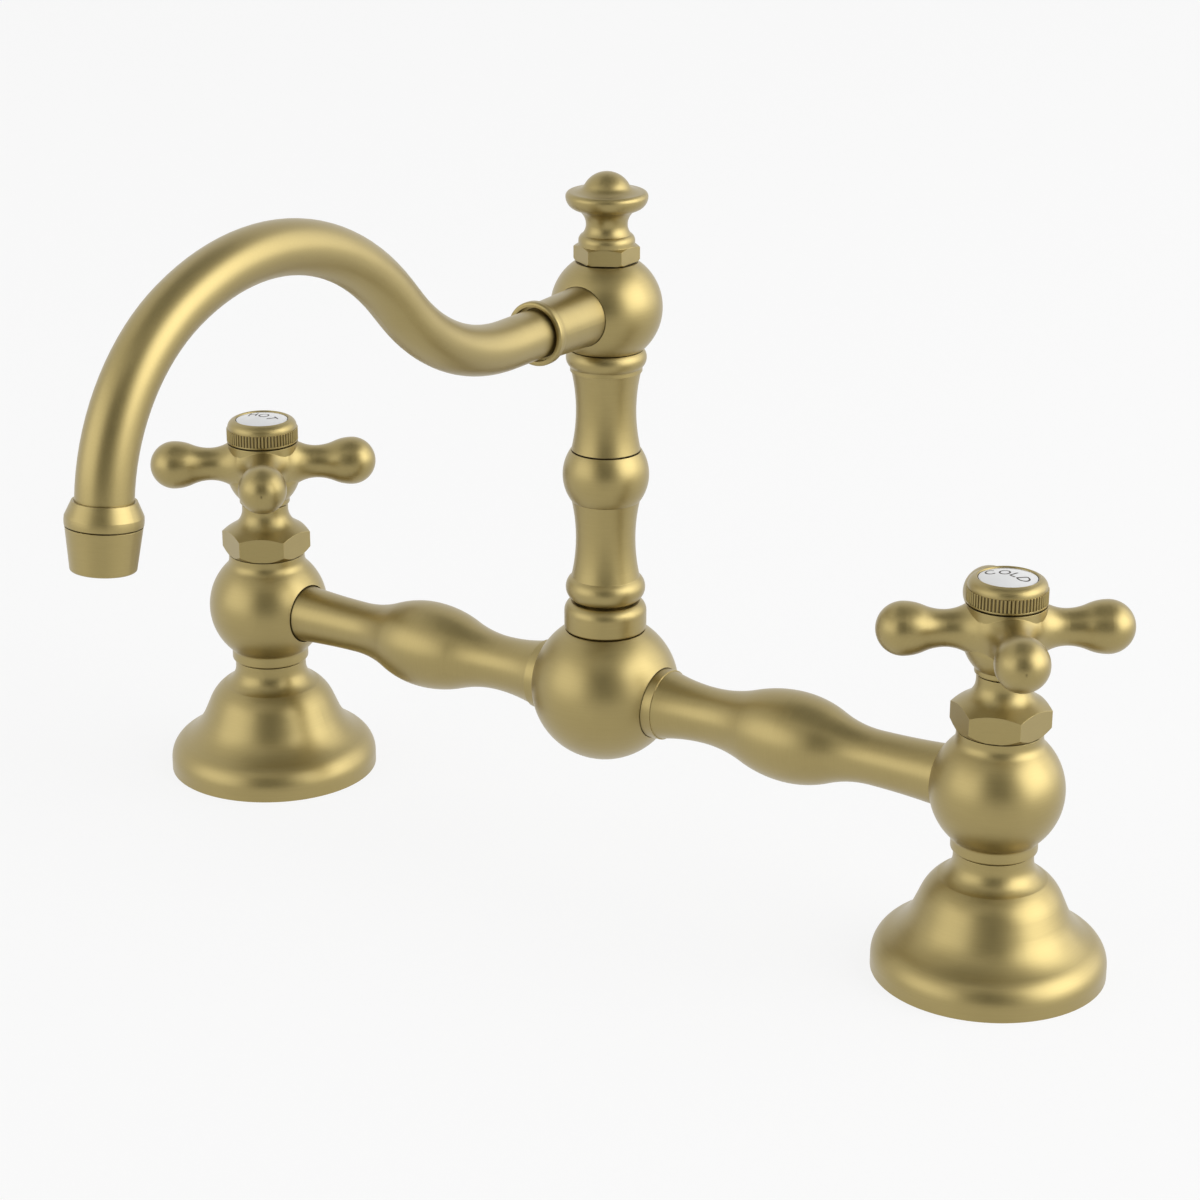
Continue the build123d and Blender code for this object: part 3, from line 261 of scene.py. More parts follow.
@dataclass(frozen=True)
class SatinBrass:
    """Brushed and lacquered champagne brass of every turned, cast or bent piece in sight."""

    deep: Colour = (0.310, 0.240, 0.085)
    light: Colour = (0.400, 0.316, 0.124)
    rubbed: Colour = (0.56, 0.455, 0.21)
    # painted shade: the dark colour laid at the bottom of the knurl's grooves
    groove_shade_colour: Colour = (0.085, 0.060, 0.017)
    roughness: Range = (0.36, 0.47)
    lacquer: float = 0.55
    lacquer_roughness: float = 0.36
    pitch: float = 0.30 * MM        # from one brush mark to the next
    sweep: float = 2.2              # brush marks that follow one another in a radian
    mark_depth: float = 0.0016 * MM
    grain: float = 0.45 * MM
    grain_depth: float = 0.00128 * MM
    cloud: float = 14 * MM
    mark_share: float = 0.45        # of the tone, the rest of which is cloud
    edge: float = 0.16 * MM         # width over which a corner is rounded and rubbed
    edge_wear: float = 2.2
    edge_gloss: float = 0.07        # how much smoother a rubbed corner is

    def turned(self, name: str, lathe: Lathe) -> bpy.types.Material:
        """Finish with brush marks round a lathe's centre line.

        Args:
            name: the material's name.
            lathe: the piece's centre line.

        Returns:
            The finished material.
        """
        paint = Paint(name)
        where = paint.place(lathe)
        marks = paint.turned(where, self.pitch, self.sweep)
        return self.lay(paint, where, marks, self.mark_depth)

    def grooved(self, name: str, lathe: Lathe, band: Range, reach: float) -> bpy.types.Material:
        """Finish of a knurled ring, with shade painted dark at the bottom of its grooves.

        Args:
            name: the material's name.
            lathe: the ring's centre line.
            band: heights between which the knurl lies, in metres.
            reach: radius under which the metal is the grooves' bottom, in metres.

        Returns:
            The finished material.
        """
        paint = Paint(name)
        where = paint.place(lathe)
        marks = paint.turned(where, self.pitch, self.sweep)
        inside = paint.math("LESS_THAN", paint.reach(where), reach)
        over = paint.math("GREATER_THAN", paint.height(where), band[0])
        under = paint.math("LESS_THAN", paint.height(where), band[1])
        # Painted shade: marks the bottom of the grooves within the knurl's band.
        painted_groove_shade = paint.math("MULTIPLY", inside, paint.math("MULTIPLY", over, under))
        return self.lay(paint, where, marks, self.mark_depth, painted_groove_shade)

    def cast(self, name: str, lathe: Lathe) -> bpy.types.Material:
        """Finish of a polished casting or bent tube, with a fine even grain.

        Args:
            name: the material's name.
            lathe: the piece's centre line.

        Returns:
            The finished material.
        """
        paint = Paint(name)
        where = paint.place(lathe)
        marks = paint.noise(where, self.grain, detail=3.0)
        return self.lay(paint, where, marks, self.grain_depth)

    def lay(self, paint: Paint, where: Feed, marks: Feed, depth: float,
            painted_groove_shade: Feed = None) -> bpy.types.Material:
        """Lay colour, sheen and relief over brush marks.

        Args:
            paint: the material's tree.
            where: coordinates with the centre line along Z.
            marks: the brush marks, from 0 to 1.
            depth: how deep they are, in metres.
            painted_groove_shade: where shade is painted dark into the metal's colour, from 0 to 1, if
                anywhere.

        Returns:
            The finished material.
        """
        cloud = paint.noise(where, self.cloud, detail=2.0)
        tone = paint.weigh(marks, cloud, self.mark_share)
        worn = paint.rubbed_edges(self.edge, self.edge_wear)
        colour = paint.blend(worn, paint.blend(tone, self.deep, self.light), self.rubbed)
        # Painted shade: darkens the colour at the bottom of the knurl's grooves.
        if painted_groove_shade is not None:
            colour = paint.blend(painted_groove_shade, colour, self.groove_shade_colour)
        haze = paint.spread(tone, *self.roughness)
        gloss = paint.math("SUBTRACT", haze, paint.math("MULTIPLY", worn, self.edge_gloss))
        normal = paint.relief(marks, depth, paint.rounded(self.edge))
        sheen = {"Coat_Weight": self.lacquer, "Coat_Roughness": self.lacquer_roughness}
        return paint.finish(colour, gloss, normal, Metallic=1.0, **sheen)


@dataclass(frozen=True)
class MachinedBrass:
    """Bare brass of the hidden pieces, with the tool's rings left on it."""

    deep: Colour = (0.50, 0.36, 0.12)
    light: Colour = (0.66, 0.50, 0.20)
    roughness: Range = (0.24, 0.38)
    pitch: float = 0.18 * MM        # from one tool mark to the next
    sweep: float = 0.5              # tool marks that follow one another in a radian
    mark_depth: float = 0.004 * MM
    cloud: float = 6 * MM
    mark_share: float = 0.5         # of the tone, the rest of which is cloud

    def turned(self, name: str, lathe: Lathe) -> bpy.types.Material:
        """Finish with tool marks round a lathe's centre line.

        Args:
            name: the material's name.
            lathe: the piece's centre line.

        Returns:
            The finished material.
        """
        paint = Paint(name)
        where = paint.place(lathe)
        marks = paint.turned(where, self.pitch, self.sweep)
        cloud = paint.noise(where, self.cloud, detail=3.0)
        tone = paint.weigh(marks, cloud, self.mark_share)
        colour = paint.blend(tone, self.deep, self.light)
        gloss = paint.spread(tone, *self.roughness)
        return paint.finish(colour, gloss, paint.relief(marks, self.mark_depth), Metallic=1.0)


@dataclass(frozen=True)
class Porcelain:
    """Glossy white glaze over a fired disc."""

    name: str = "white porcelain"
    cool: Colour = (0.80, 0.81, 0.82)
    warm: Colour = (0.86, 0.855, 0.84)
    roughness: Range = (0.07, 0.13)
    cloud: float = 5 * MM
    ripple: float = 1.6 * MM
    ripple_depth: float = 0.002 * MM
    glaze: float = 0.6
    glaze_roughness: float = 0.04

    def glazed(self) -> bpy.types.Material:
        """Glaze with faint clouds and the ripple of the kiln.

        Returns:
            The finished material.
        """
        paint = Paint(self.name)
        where = paint.place()
        cloud = paint.noise(where, self.cloud, detail=2.0)
        ripple = paint.noise(where, self.ripple, detail=1.0)
        colour = paint.blend(cloud, self.cool, self.warm)
        gloss = paint.spread(ripple, *self.roughness)
        sheen = {"Coat_Weight": self.glaze, "Coat_Roughness": self.glaze_roughness}
        return paint.finish(colour, gloss, paint.relief(ripple, self.ripple_depth), **sheen)


@dataclass(frozen=True)
class Enamel:
    """Grey-brown colour of the fired letters."""

    name: str = "letter enamel"
    thin: Colour = (0.080, 0.064, 0.050)
    full: Colour = (0.034, 0.027, 0.021)
    roughness: Range = (0.42, 0.58)
    cloud: float = 0.5 * MM
    depth: float = 0.003 * MM
    shine: float = 0.2

    def fired(self) -> bpy.types.Material:
        """Enamel that lies a little thinner in places.

        Returns:
            The finished material.
        """
        paint = Paint(self.name)
        cloud = paint.noise(paint.place(), self.cloud, detail=3.0)
        colour = paint.blend(cloud, self.thin, self.full)
        gloss = paint.spread(cloud, *self.roughness)
        normal = paint.relief(cloud, self.depth)
        return paint.finish(colour, gloss, normal, Specular_IOR_Level=self.shine)


@dataclass(frozen=True)
class DiscCeramic:
    """Hard lapped ceramic of the discs that shut the water off."""

    name: str = "disc ceramic"
    low: Colour = (0.70, 0.69, 0.65)
    high: Colour = (0.80, 0.79, 0.76)
    roughness: Range = (0.22, 0.38)
    grain: float = 0.25 * MM
    grain_depth: float = 0.002 * MM

    def lapped(self) -> bpy.types.Material:
        """Ceramic with the fine speckle of its grains.

        Returns:
            The finished material.
        """
        paint = Paint(self.name)
        speckle = paint.noise(paint.place(), self.grain, detail=4.0)
        colour = paint.blend(speckle, self.low, self.high)
        gloss = paint.spread(speckle, *self.roughness)
        return paint.finish(colour, gloss, paint.relief(speckle, self.grain_depth))


@dataclass(frozen=True)
class SealRubber:
    """Black rubber of rings, washers and gaskets."""

    name: str = "seal rubber"
    dark: Colour = (0.012, 0.012, 0.013)
    bloom: Colour = (0.034, 0.033, 0.032)
    roughness: Range = (0.55, 0.75)
    cloud: float = 3 * MM
    grain: float = 0.3 * MM
    grain_depth: float = 0.01 * MM

    def moulded(self) -> bpy.types.Material:
        """Rubber with the pale bloom of age in its clouds.

        Returns:
            The finished material.
        """
        paint = Paint(self.name)
        where = paint.place()
        cloud = paint.noise(where, self.cloud, detail=5.0)
        grain = paint.noise(where, self.grain, detail=2.0)
        colour = paint.blend(cloud, self.dark, self.bloom)
        gloss = paint.spread(cloud, *self.roughness)
        return paint.finish(colour, gloss, paint.relief(grain, self.grain_depth))


@dataclass(frozen=True)
class MouldedNylon:
    """Off-white nylon of the washer and the jet insert."""

    name: str = "moulded nylon"
    low: Colour = (0.60, 0.595, 0.57)
    high: Colour = (0.70, 0.70, 0.68)
    roughness: Range = (0.38, 0.52)
    cloud: float = 2 * MM
    grain: float = 0.2 * MM
    grain_depth: float = 0.004 * MM
    glow: float = 0.05

    def moulded(self) -> bpy.types.Material:
        """Nylon with the mould's fine texture.

        Returns:
            The finished material.
        """
        paint = Paint(self.name)
        where = paint.place()
        cloud = paint.noise(where, self.cloud, detail=3.0)
        grain = paint.noise(where, self.grain, detail=2.0)
        colour = paint.blend(cloud, self.low, self.high)
        gloss = paint.spread(grain, *self.roughness)
        normal = paint.relief(grain, self.grain_depth)
        return paint.finish(colour, gloss, normal, Subsurface_Weight=self.glow)


@dataclass(frozen=True)
class PlainSteel:
    """Stamped and turned steel of the washers and screws."""

    name: str = "plain steel"
    low: Colour = (0.36, 0.36, 0.37)
    high: Colour = (0.52, 0.52, 0.53)
    roughness: Range = (0.28, 0.44)
    line: float = 0.25 * MM
    line_depth: float = 0.003 * MM
    drawn: Point = (0.06, 1.0, 1.0)     # draws the lines out along X
    cloud: float = 8 * MM
    line_share: float = 0.5             # of the tone, the rest of which is cloud

    def rolled(self) -> bpy.types.Material:
        """Steel with the long fine lines of the rolls.

        Returns:
            The finished material.
        """
        paint = Paint(self.name)
        where = paint.place()
        drawn = paint.vector("MULTIPLY", where, self.drawn).outputs["Vector"]
        lines = paint.noise(drawn, self.line, detail=3.0)
        cloud = paint.noise(where, self.cloud, detail=3.0)
        tone = paint.weigh(lines, cloud, self.line_share)
        colour = paint.blend(tone, self.low, self.high)
        gloss = paint.spread(tone, *self.roughness)
        return paint.finish(colour, gloss, paint.relief(lines, self.line_depth), Metallic=1.0)


class Finishes:
    """What the sub-assemblies are dressed in."""

    def __init__(self) -> None:
        """Make the materials that don't depend on a piece's place, each once."""
        self.brass = SatinBrass()
        self.bare_brass = MachinedBrass()
        self.porcelain = Porcelain().glazed()
        self.enamel = Enamel().fired()
        self.disc_ceramic = DiscCeramic().lapped()
        self.rubber = SealRubber().moulded()
        self.nylon = MouldedNylon().moulded()
        self.steel = PlainSteel().rolled()


def dress(material: bpy.types.Material, *nodes: str) -> None:
    """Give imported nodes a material.

    Args:
        material: what they are dressed in.
        nodes: the names of the nodes.
    """
    for name in nodes:
        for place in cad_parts[name].material_slots:
            place.material = material
        log.info("%s: %s", name, material.name)


def middle(node: str) -> Vector:
    """Centre of a node's box."""
    low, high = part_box(node)
    return (low + high) / 2


def new_piece(name: str, mesh: bpy.types.Mesh) -> bpy.types.Object:
    """Show a mesh as an object at the origin.

    Args:
        name: the object's name.
        mesh: what it shows.

    Returns:
        The new object.
    """
    piece = bpy.data.objects.new(name, mesh)
    bpy.context.scene.collection.objects.link(piece)
    return piece


def piece_from(shape: bmesh.types.BMesh, name: str, material: bpy.types.Material) -> bpy.types.Object:
    """Turn finished faces into an object.

    Args:
        shape: the faces, which are freed.
        name: the object's name.
        material: the finish of all of them.

    Returns:
        The new object.
    """
    mesh = bpy.data.meshes.new(name)
    shape.to_mesh(mesh)
    shape.free()
    mesh.materials.append(material)
    return new_piece(name, mesh)


class Grower(Board):
    """Geometry Nodes tree with named inputs, and the way to turn its result into a plain mesh."""

    def __init__(self, name: str, sizes: dict[str, tuple[str, object]]) -> None:
        """Start a tree.

        Args:
            name: the tree's name.
            sizes: for each named input, its socket type and its value.
        """
        super().__init__(bpy.data.node_groups.new(name, "GeometryNodeTree"))
        self.sizes = sizes
        self.tree.interface.new_socket("Geometry", in_out="INPUT", socket_type="NodeSocketGeometry")
        for label, (kind, _) in sizes.items():
            self.tree.interface.new_socket(label, in_out="INPUT", socket_type=kind)
        self.tree.interface.new_socket("Geometry", in_out="OUTPUT", socket_type="NodeSocketGeometry")
        self.given = self.add("NodeGroupInput").outputs

    def close(self, shape: bpy.types.NodeSocket) -> None:
        """Realize the instances, set the material and end the tree.

        Args:
            shape: what the tree has made.
        """
        solid = self.add("GeometryNodeRealizeInstances", {"Geometry": shape}).outputs["Geometry"]
        feeds = {"Geometry": solid, "Material": self.given["Material"]}
        painted = self.add("GeometryNodeSetMaterial", feeds).outputs["Geometry"]
        smooth = self.add("GeometryNodeSetShadeSmooth", {"Geometry": painted}).outputs["Geometry"]
        self.add("NodeGroupOutput", {0: smooth})

    def grow(self, name: str) -> bpy.types.Object:
        """Run the tree once.

        Args:
            name: the name of the new piece.

        Returns:
            A piece with a plain mesh and no modifier.
        """
        seed = new_piece(name, bpy.data.meshes.new(name))
        modifier = seed.modifiers.new(self.tree.name, "NODES")
        modifier.node_group = self.tree
        entries = [item for item in self.tree.interface.items_tree if item.in_out == "INPUT"]
        sockets = {entry.name: entry.identifier for entry in entries}
        for label, (_, value) in self.sizes.items():
            modifier[sockets[label]] = value
        bpy.context.view_layer.update()
        grown = seed.evaluated_get(bpy.context.evaluated_depsgraph_get())
        mesh = bpy.data.meshes.new_from_object(grown)
        seed.modifiers.remove(modifier)
        seed.data = mesh
        return seed


@dataclass
class Knurl:
    """Straight knurl round an index ring: ribs that fade into the ring's shoulder."""

    ribs: int = 65
    crest_radius: float = 8.74 * MM
    root_radius: float = 8.56 * MM
    half_width: float = 0.29 * MM
    foot: float = 86.50 * MM        # height above the deck
    height: float = 2.85 * MM
    stations: int = 9               # points along a rib
    sides: int = 8                  # points round a rib
    fade_power: float = 9.0         # the higher, the nearer to its ends a rib starts to narrow
    tip: float = 0.12               # share of the width that its ends keep

    def build(self, name: str, centre: Vector, material: bpy.types.Material) -> bpy.types.Object:
        """Grow the ribs round a valve's axis.

        Args:
            name: the name of the new piece.
            centre: a point on the valve's axis.
            material: the ring's finish.

        Returns:
            The ribs, as one plain mesh.
        """
        board = Grower(f"{name} tree", {
            "Ribs": ("NodeSocketInt", self.ribs),
            "Crest Radius": ("NodeSocketFloat", self.crest_radius),
            "Half Width": ("NodeSocketFloat", self.half_width),
            "Foot": ("NodeSocketFloat", self.foot),
            "Height": ("NodeSocketFloat", self.height),
            "Centre": ("NodeSocketVector", (centre.x, centre.y, 0.0)),
            "Material": ("NodeSocketMaterial", material),
        })
        given = board.given
        places = board.add("GeometryNodePoints", {"Count": given["Ribs"], "Position": given["Centre"]})
        step = board.math("DIVIDE", 2 * pi, given["Ribs"])
        turn = board.math("MULTIPLY", board.add("GeometryNodeInputIndex").outputs[0], step)
        rotation = board.combine(z=turn)
        feeds = {"Points": places.outputs[0], "Instance": self.rib(board), "Rotation": rotation}
        board.close(board.add("GeometryNodeInstanceOnPoints", feeds).outputs["Instances"])
        return board.grow(name)

    def rib(self, board: Grower) -> bpy.types.NodeSocket:
        """Upright rib at +X, narrower at its two ends.

        Args:
            board: the tree that it is made in.

        Returns:
            The rib's mesh.
        """
        given = board.given
        reach = board.math("SUBTRACT", given["Crest Radius"], given["Half Width"])
        top = board.math("ADD", given["Foot"], given["Height"])
        ends = {"Start": board.combine(reach, z=given["Foot"]), "End": board.combine(reach, z=top)}
        line = board.add("GeometryNodeCurvePrimitiveLine", ends).outputs["Curve"]
        feeds = {"Curve": line, "Count": self.stations}
        spine = board.add("GeometryNodeResampleCurve", feeds).outputs["Curve"]
        along = board.add("GeometryNodeSplineParameter").outputs["Factor"]
        from_middle = board.math("SUBTRACT", board.math("MULTIPLY", along, 2.0), 1.0)
        off_middle = board.math("ABSOLUTE", from_middle)
        fade = board.math("SUBTRACT", 1.0, board.math("POWER", off_middle, self.fade_power))
        width = board.math("MAXIMUM", board.math("SQRT", fade), self.tip)
        fading = board.add("GeometryNodeSetCurveRadius", {"Curve": spine, "Radius": width})
        feeds = {"Resolution": self.sides, "Radius": given["Half Width"]}
        profile = board.add("GeometryNodeCurvePrimitiveCircle", feeds)
        feeds = {
            "Curve": fading.outputs["Curve"],
            "Profile Curve": profile.outputs["Curve"],
            "Fill Caps": True,
        }
        return board.add("GeometryNodeCurveToMesh", feeds).outputs["Mesh"]


Stroke = list[tuple[float, float]]

BOW_STEP = 10


def bow(middle_x: float, half_width: float, start: float, end: float) -> Stroke:
    """Part of an ellipse as high as the letters, as a stroke.

    Args:
        middle_x: where the ellipse stands.
        half_width: half of its width.
        start, end: degrees where the stroke starts and ends.

    Returns:
        Points BOW_STEP degrees apart, or nearly so.
    """
    count = round(abs(end - start) / BOW_STEP)
    turns = [radians(start + (end - start) * step / count) for step in range(count + 1)]
    return [(middle_x + half_width * cos(turn), 0.5 + 0.5 * sin(turn)) for turn in turns]


class Letter(Enum):
    """Plain capitals, each a width and its strokes, one unit high."""

    C = (0.76, [bow(0.42, 0.42, 46, 314)])
    D = (0.72, [[(0, 0), (0, 1), (0.24, 1)] + bow(0.24, 0.48, 80, -80) + [(0.24, 0), (0, 0)]])
    H = (0.68, [[(0, 0), (0, 1)], [(0.68, 0), (0.68, 1)], [(0, 0.52), (0.68, 0.52)]])
    L = (0.52, [[(0, 1), (0, 0), (0.52, 0)]])
    O = (0.84, [bow(0.42, 0.42, 0, 360)])
    T = (0.68, [[(0, 1), (0.68, 1)], [(0.34, 0), (0.34, 1)]])

    def __init__(self, width: float, strokes: list[Stroke]) -> None:
        """Keep the two parts of the value by name."""
        self.width = width
        self.strokes = strokes


@dataclass
class Lettering:
    """Word laid on a porcelain dome in thin raised strokes, along an arc that is read from -Y."""

    word: str
    height: float = 2.6 * MM
    stroke: float = 0.46 * MM
    flat: float = 0.8               # share of the stroke's width that is flat on top
    arc_radius: float = 7.0 * MM
    arc_rise: float = 1.2 * MM      # from the disc's middle to the middle of the letters
    aside: float = -0.25 * MM
    gap: float = 1.0 * MM
    proud: float = 0.015 * MM
    sunk: float = 0.05 * MM
    step: float = 0.18 * MM         # between two sections of a stroke
    touch: float = 0.01 * MM        # nearer than this, a stroke's two ends are one

    def build(self, name: str, disc: str, material: bpy.types.Material) -> bpy.types.Object:
        """Lay the word on a disc.

        Args:
            name: the name of the new piece.
            disc: the node of the porcelain disc.
            material: the enamel.

        Returns:
            The letters, as one mesh.
        """
        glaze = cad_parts[disc].data
        points = [vertex.co for vertex in glaze.vertices]
        dome = BVHTree.FromPolygons(points, [tuple(face.vertices) for face in glaze.polygons])
        centre = middle(disc) + Vector((self.aside, self.arc_rise - self.arc_radius, 0.0))
        shape = bmesh.new()
        for letter, turn in self.spaced():
            for stroke in letter.strokes:
                path = [self.on_arc(centre, turn, letter, spot) for spot in stroke]
                self.draw(shape, path, dome)
        bmesh.ops.recalc_face_normals(shape, faces=shape.faces)
        return piece_from(shape, name, material)

    def spaced(self) -> list[tuple[Letter, float]]:
        """Space the word's letters along the arc.

        Returns:
            Each letter with the turn of its middle about the arc's centre, in radians from +X.
        """
        letters = [Letter[sign] for sign in self.word]
        widths = [letter.width * self.height for letter in letters]
        at = -(sum(widths) + self.gap * (len(widths) - 1)) / 2
        places = []
        for letter, width in zip(letters, widths):
            places.append((letter, pi / 2 - (at + width / 2) / self.arc_radius))
            at += width + self.gap
        return places

    def on_arc(self, centre: Vector, turn: float, letter: Letter, spot: tuple[float, float]) -> Vector:
        """Point of a letter, in plan.

        Args:
            centre: the arc's centre.
            turn: where the letter stands on the arc.
            letter: the letter.
            spot: the point, in the letter's units.

        Returns:
            The point over the disc.
        """
        out = Vector((cos(turn), sin(turn), 0.0))
        side = Vector((sin(turn), -cos(turn), 0.0))
        across = (spot[0] - letter.width / 2) * self.height
        return centre + out * (self.arc_radius + (spot[1] - 0.5) * self.height) + side * across

    def divided(self, path: list[Vector]) -> list[Vector]:
        """Lay more points on a path, close enough for a stroke to follow the dome.

        Args:
            path: the path's corners.

        Returns:
            The corners with the points between them.
        """
        spots = [path[0]]
        for start, end in zip(path, path[1:]):
            count = max(1, round((end - start).length / self.step))
            spots += [start.lerp(end, place / count) for place in range(1, count + 1)]
        return spots

    def draw(self, shape: bmesh.types.BMesh, path: list[Vector], dome: BVHTree) -> None:
        """Add one stroke: a ribbon that follows the dome.

        Args:
            shape: the mesh that takes the stroke.
            path: its middle line, in plan.
            dome: the surface that it lies on.
        """
        foot, top = -self.sunk, self.proud
        section = ((-1.0, foot), (-self.flat, top), (self.flat, top), (1.0, foot))
        spots = self.divided(path)
        closed = (spots[0] - spots[-1]).length < self.touch
        if closed:
            spots.pop()
        rows = []
        for index, spot in enumerate(spots):
            before = spots[index - 1] if closed or index else spot
            after = spots[(index + 1) % len(spots)] if closed or index + 1 < len(spots) else spot
            way = (after - before).normalized()
            side = Vector((-way.y, way.x, 0.0)) * (self.stroke / 2)
            rows.append([self.drop(shape, spot + side * place, dome, lift) for place, lift in section])
        for first, second in zip(rows, rows[1:] + rows[:1] if closed else rows[1:]):
            for left in range(len(section)):
                right = (left + 1) % len(section)
                shape.faces.new((first[left], first[right], second[right], second[left]))
        if not closed:
            shape.faces.new(rows[0])
            shape.faces.new(rows[-1][::-1])

    def drop(self, shape: bmesh.types.BMesh, spot: Vector, dome: BVHTree,
             lift: float) -> bmesh.types.BMVert:
        """Vertex over or under the dome's surface at a place in plan."""
        hit = dome.ray_cast(Vector((spot.x, spot.y, 1.0)), Vector((0.0, 0.0, -1.0)))[0]
        return shape.verts.new((spot.x, spot.y, hit.z + lift))


class Side(Enum):
    """The two valves. The value starts their nodes' names, and the name is the word on the disc."""

    HOT = "hot"
    COLD = "cold"


@dataclass
class Valve:
    """One deck valve, from its base flange to the lettered disc in its handle."""

    side: Side
    finishes: Finishes
    knurl: Knurl = field(default_factory=Knurl)

    def build(self) -> None:
        """Dress the valve's nodes and add its knurl and its word."""
        side = self.side.value
        axis = middle(f"{side}_base")
        lathe = Lathe((axis.x, axis.y, 0.0))
        brass = self.finishes.brass
        satin = brass.turned(f"satin brass, {side} valve", lathe)
        cast = brass.cast(f"satin brass, {side} handle", lathe)
        bare = self.finishes.bare_brass.turned(f"machined brass, {side} valve", lathe)
        band = (self.knurl.foot, self.knurl.foot + self.knurl.height)
        ring = brass.grooved(f"satin brass, {side} ring", lathe, band, self.knurl.root_radius)
        dress(satin, *self.named("base", "valve_body", "bonnet_nut"))
        dress(ring, *self.named("index_ring"))
        dress(cast, *self.named("handle"))
        dress(bare, *self.named("shank", "lock_nut", "cartridge", "stem"))
        rings = self.named("base_gasket", "rubber_washer", "seat_seal", "stem_ring")
        dress(self.finishes.rubber, *rings)
        dress(self.finishes.steel, *self.named("steel_washer", "handle_screw"))
        dress(self.finishes.disc_ceramic, *self.named("fixed_disc", "moving_disc"))
        dress(self.finishes.porcelain, *self.named("index_disc"))
        self.mount(self.knurl.build(f"{side}_knurl", axis, satin))
        word = Lettering(self.side.name)
        letters = word.build(f"{side}_word", f"{side}_index_disc", self.finishes.enamel)
        self.mount(letters)

    def named(self, *pieces: str) -> list[str]:
        """Full node names of this valve's pieces."""
        return [f"{self.side.value}_{piece}" for piece in pieces]

    def mount(self, piece: bpy.types.Object) -> None:
        """Let a new piece turn with the handle.

        Args:
            piece: the new piece.
        """
        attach(piece, f"{self.side.value}_handle")
        log.info("%s: %d faces", piece.name, len(piece.data.polygons))


@dataclass
class Bridge:
    """The two turned arms, the hub ball between them and the collar that holds the swivel."""

    finishes: Finishes

    def build(self) -> None:
        """Dress the bridge's nodes."""
        brass = self.finishes.brass
        axis = middle("hot_bridge_arm")
        along = Lathe((0.0, axis.y, axis.z), (0.0, 90.0, 0.0))
        arms = [f"{side.value}_bridge_arm" for side in Side]
        rings = [f"{side.value}_arm_{end}_ring" for side in Side for end in ("hub", "valve")]
        dress(brass.turned("satin brass, arms", along), *arms)
        dress(brass.turned("satin brass, hub", Lathe()), "bridge_hub", "collar_nut")
        dress(self.finishes.nylon, "friction_washer")
        dress(self.finishes.rubber, *rings)


@dataclass
class Spout:
    """Everything that swivels: the column, its ball and finial, the gooseneck and the aerator."""

    finishes: Finishes
    outlet_lean: float = -5.8       # degrees about X, from upright

    def build(self) -> None:
        """Dress the spout's nodes."""
        brass = self.finishes.brass
        upright = Lathe()
        level = Lathe((0.0, 0.0, middle("spout_socket").z), (90.0, 0.0, 0.0))
        leaning = Lathe(tuple(middle("aerator_shell")), (self.outlet_lean, 0.0, 0.0))
        column = brass.turned("satin brass, column", upright)
        dress(column, "lower_column", "upper_column", "spout_ball", "finial")
        dress(brass.turned("satin brass, socket", level), "spout_socket")
        dress(brass.cast("satin brass, gooseneck", upright), "spout_tube")
        dress(brass.turned("satin brass, outlet", leaning), "outlet_collar", "aerator_shell")
        dress(self.finishes.bare_brass.turned("machined brass, swivel", upright), "swivel")
        dress(self.finishes.rubber, "swivel_upper_ring", "swivel_lower_ring")
        dress(self.finishes.rubber, "finial_seal", "aerator_washer")
        dress(self.finishes.nylon, "aerator_insert")


@dataclass(frozen=True)
class Panel:
    """Flat thing of the studio that faces the object's middle, with sizes in metres."""

    name: str
    way: Point                      # towards it, from the object's middle
    away: float
    wide: float
    high: float

    def facing(self, aim: Point) -> Matrix:
        """Work out where the panel stands.

        Args:
            aim: the object's middle.

        Returns:
            The panel's place and turn.
        """
        way = Vector(self.way).normalized()
        turn = way.to_track_quat("Z", "Y").to_matrix().to_4x4()
        return Matrix.Translation(Vector(aim) + way * self.away) @ turn


@dataclass(frozen=True)
class Softbox(Panel):
    """Flat lamp behind a diffuser."""

    watts: float


@dataclass(frozen=True)
class Card(Panel):
    """Grey card that keeps the white of the studio out of the brass, as for a photograph."""

    grey: float


def flat_piece(name: str, place: Matrix, material: bpy.types.Material) -> bpy.types.Object:
    """Make a flat square that is 2 m wide before it is placed.

    Args:
        name: the object's name.
        place: its place, turn and scale, which go into its mesh.
        material: its finish.

    Returns:
        The new object.
    """
    shape = bmesh.new()
    bmesh.ops.create_grid(shape, x_segments=1, y_segments=1, size=1.0, matrix=place)
    return piece_from(shape, name, material)


def grey(level: float) -> tuple[float, float, float, float]:
    """Grey from black at 0 to white at 1."""
    return (level, level, level, 1.0)


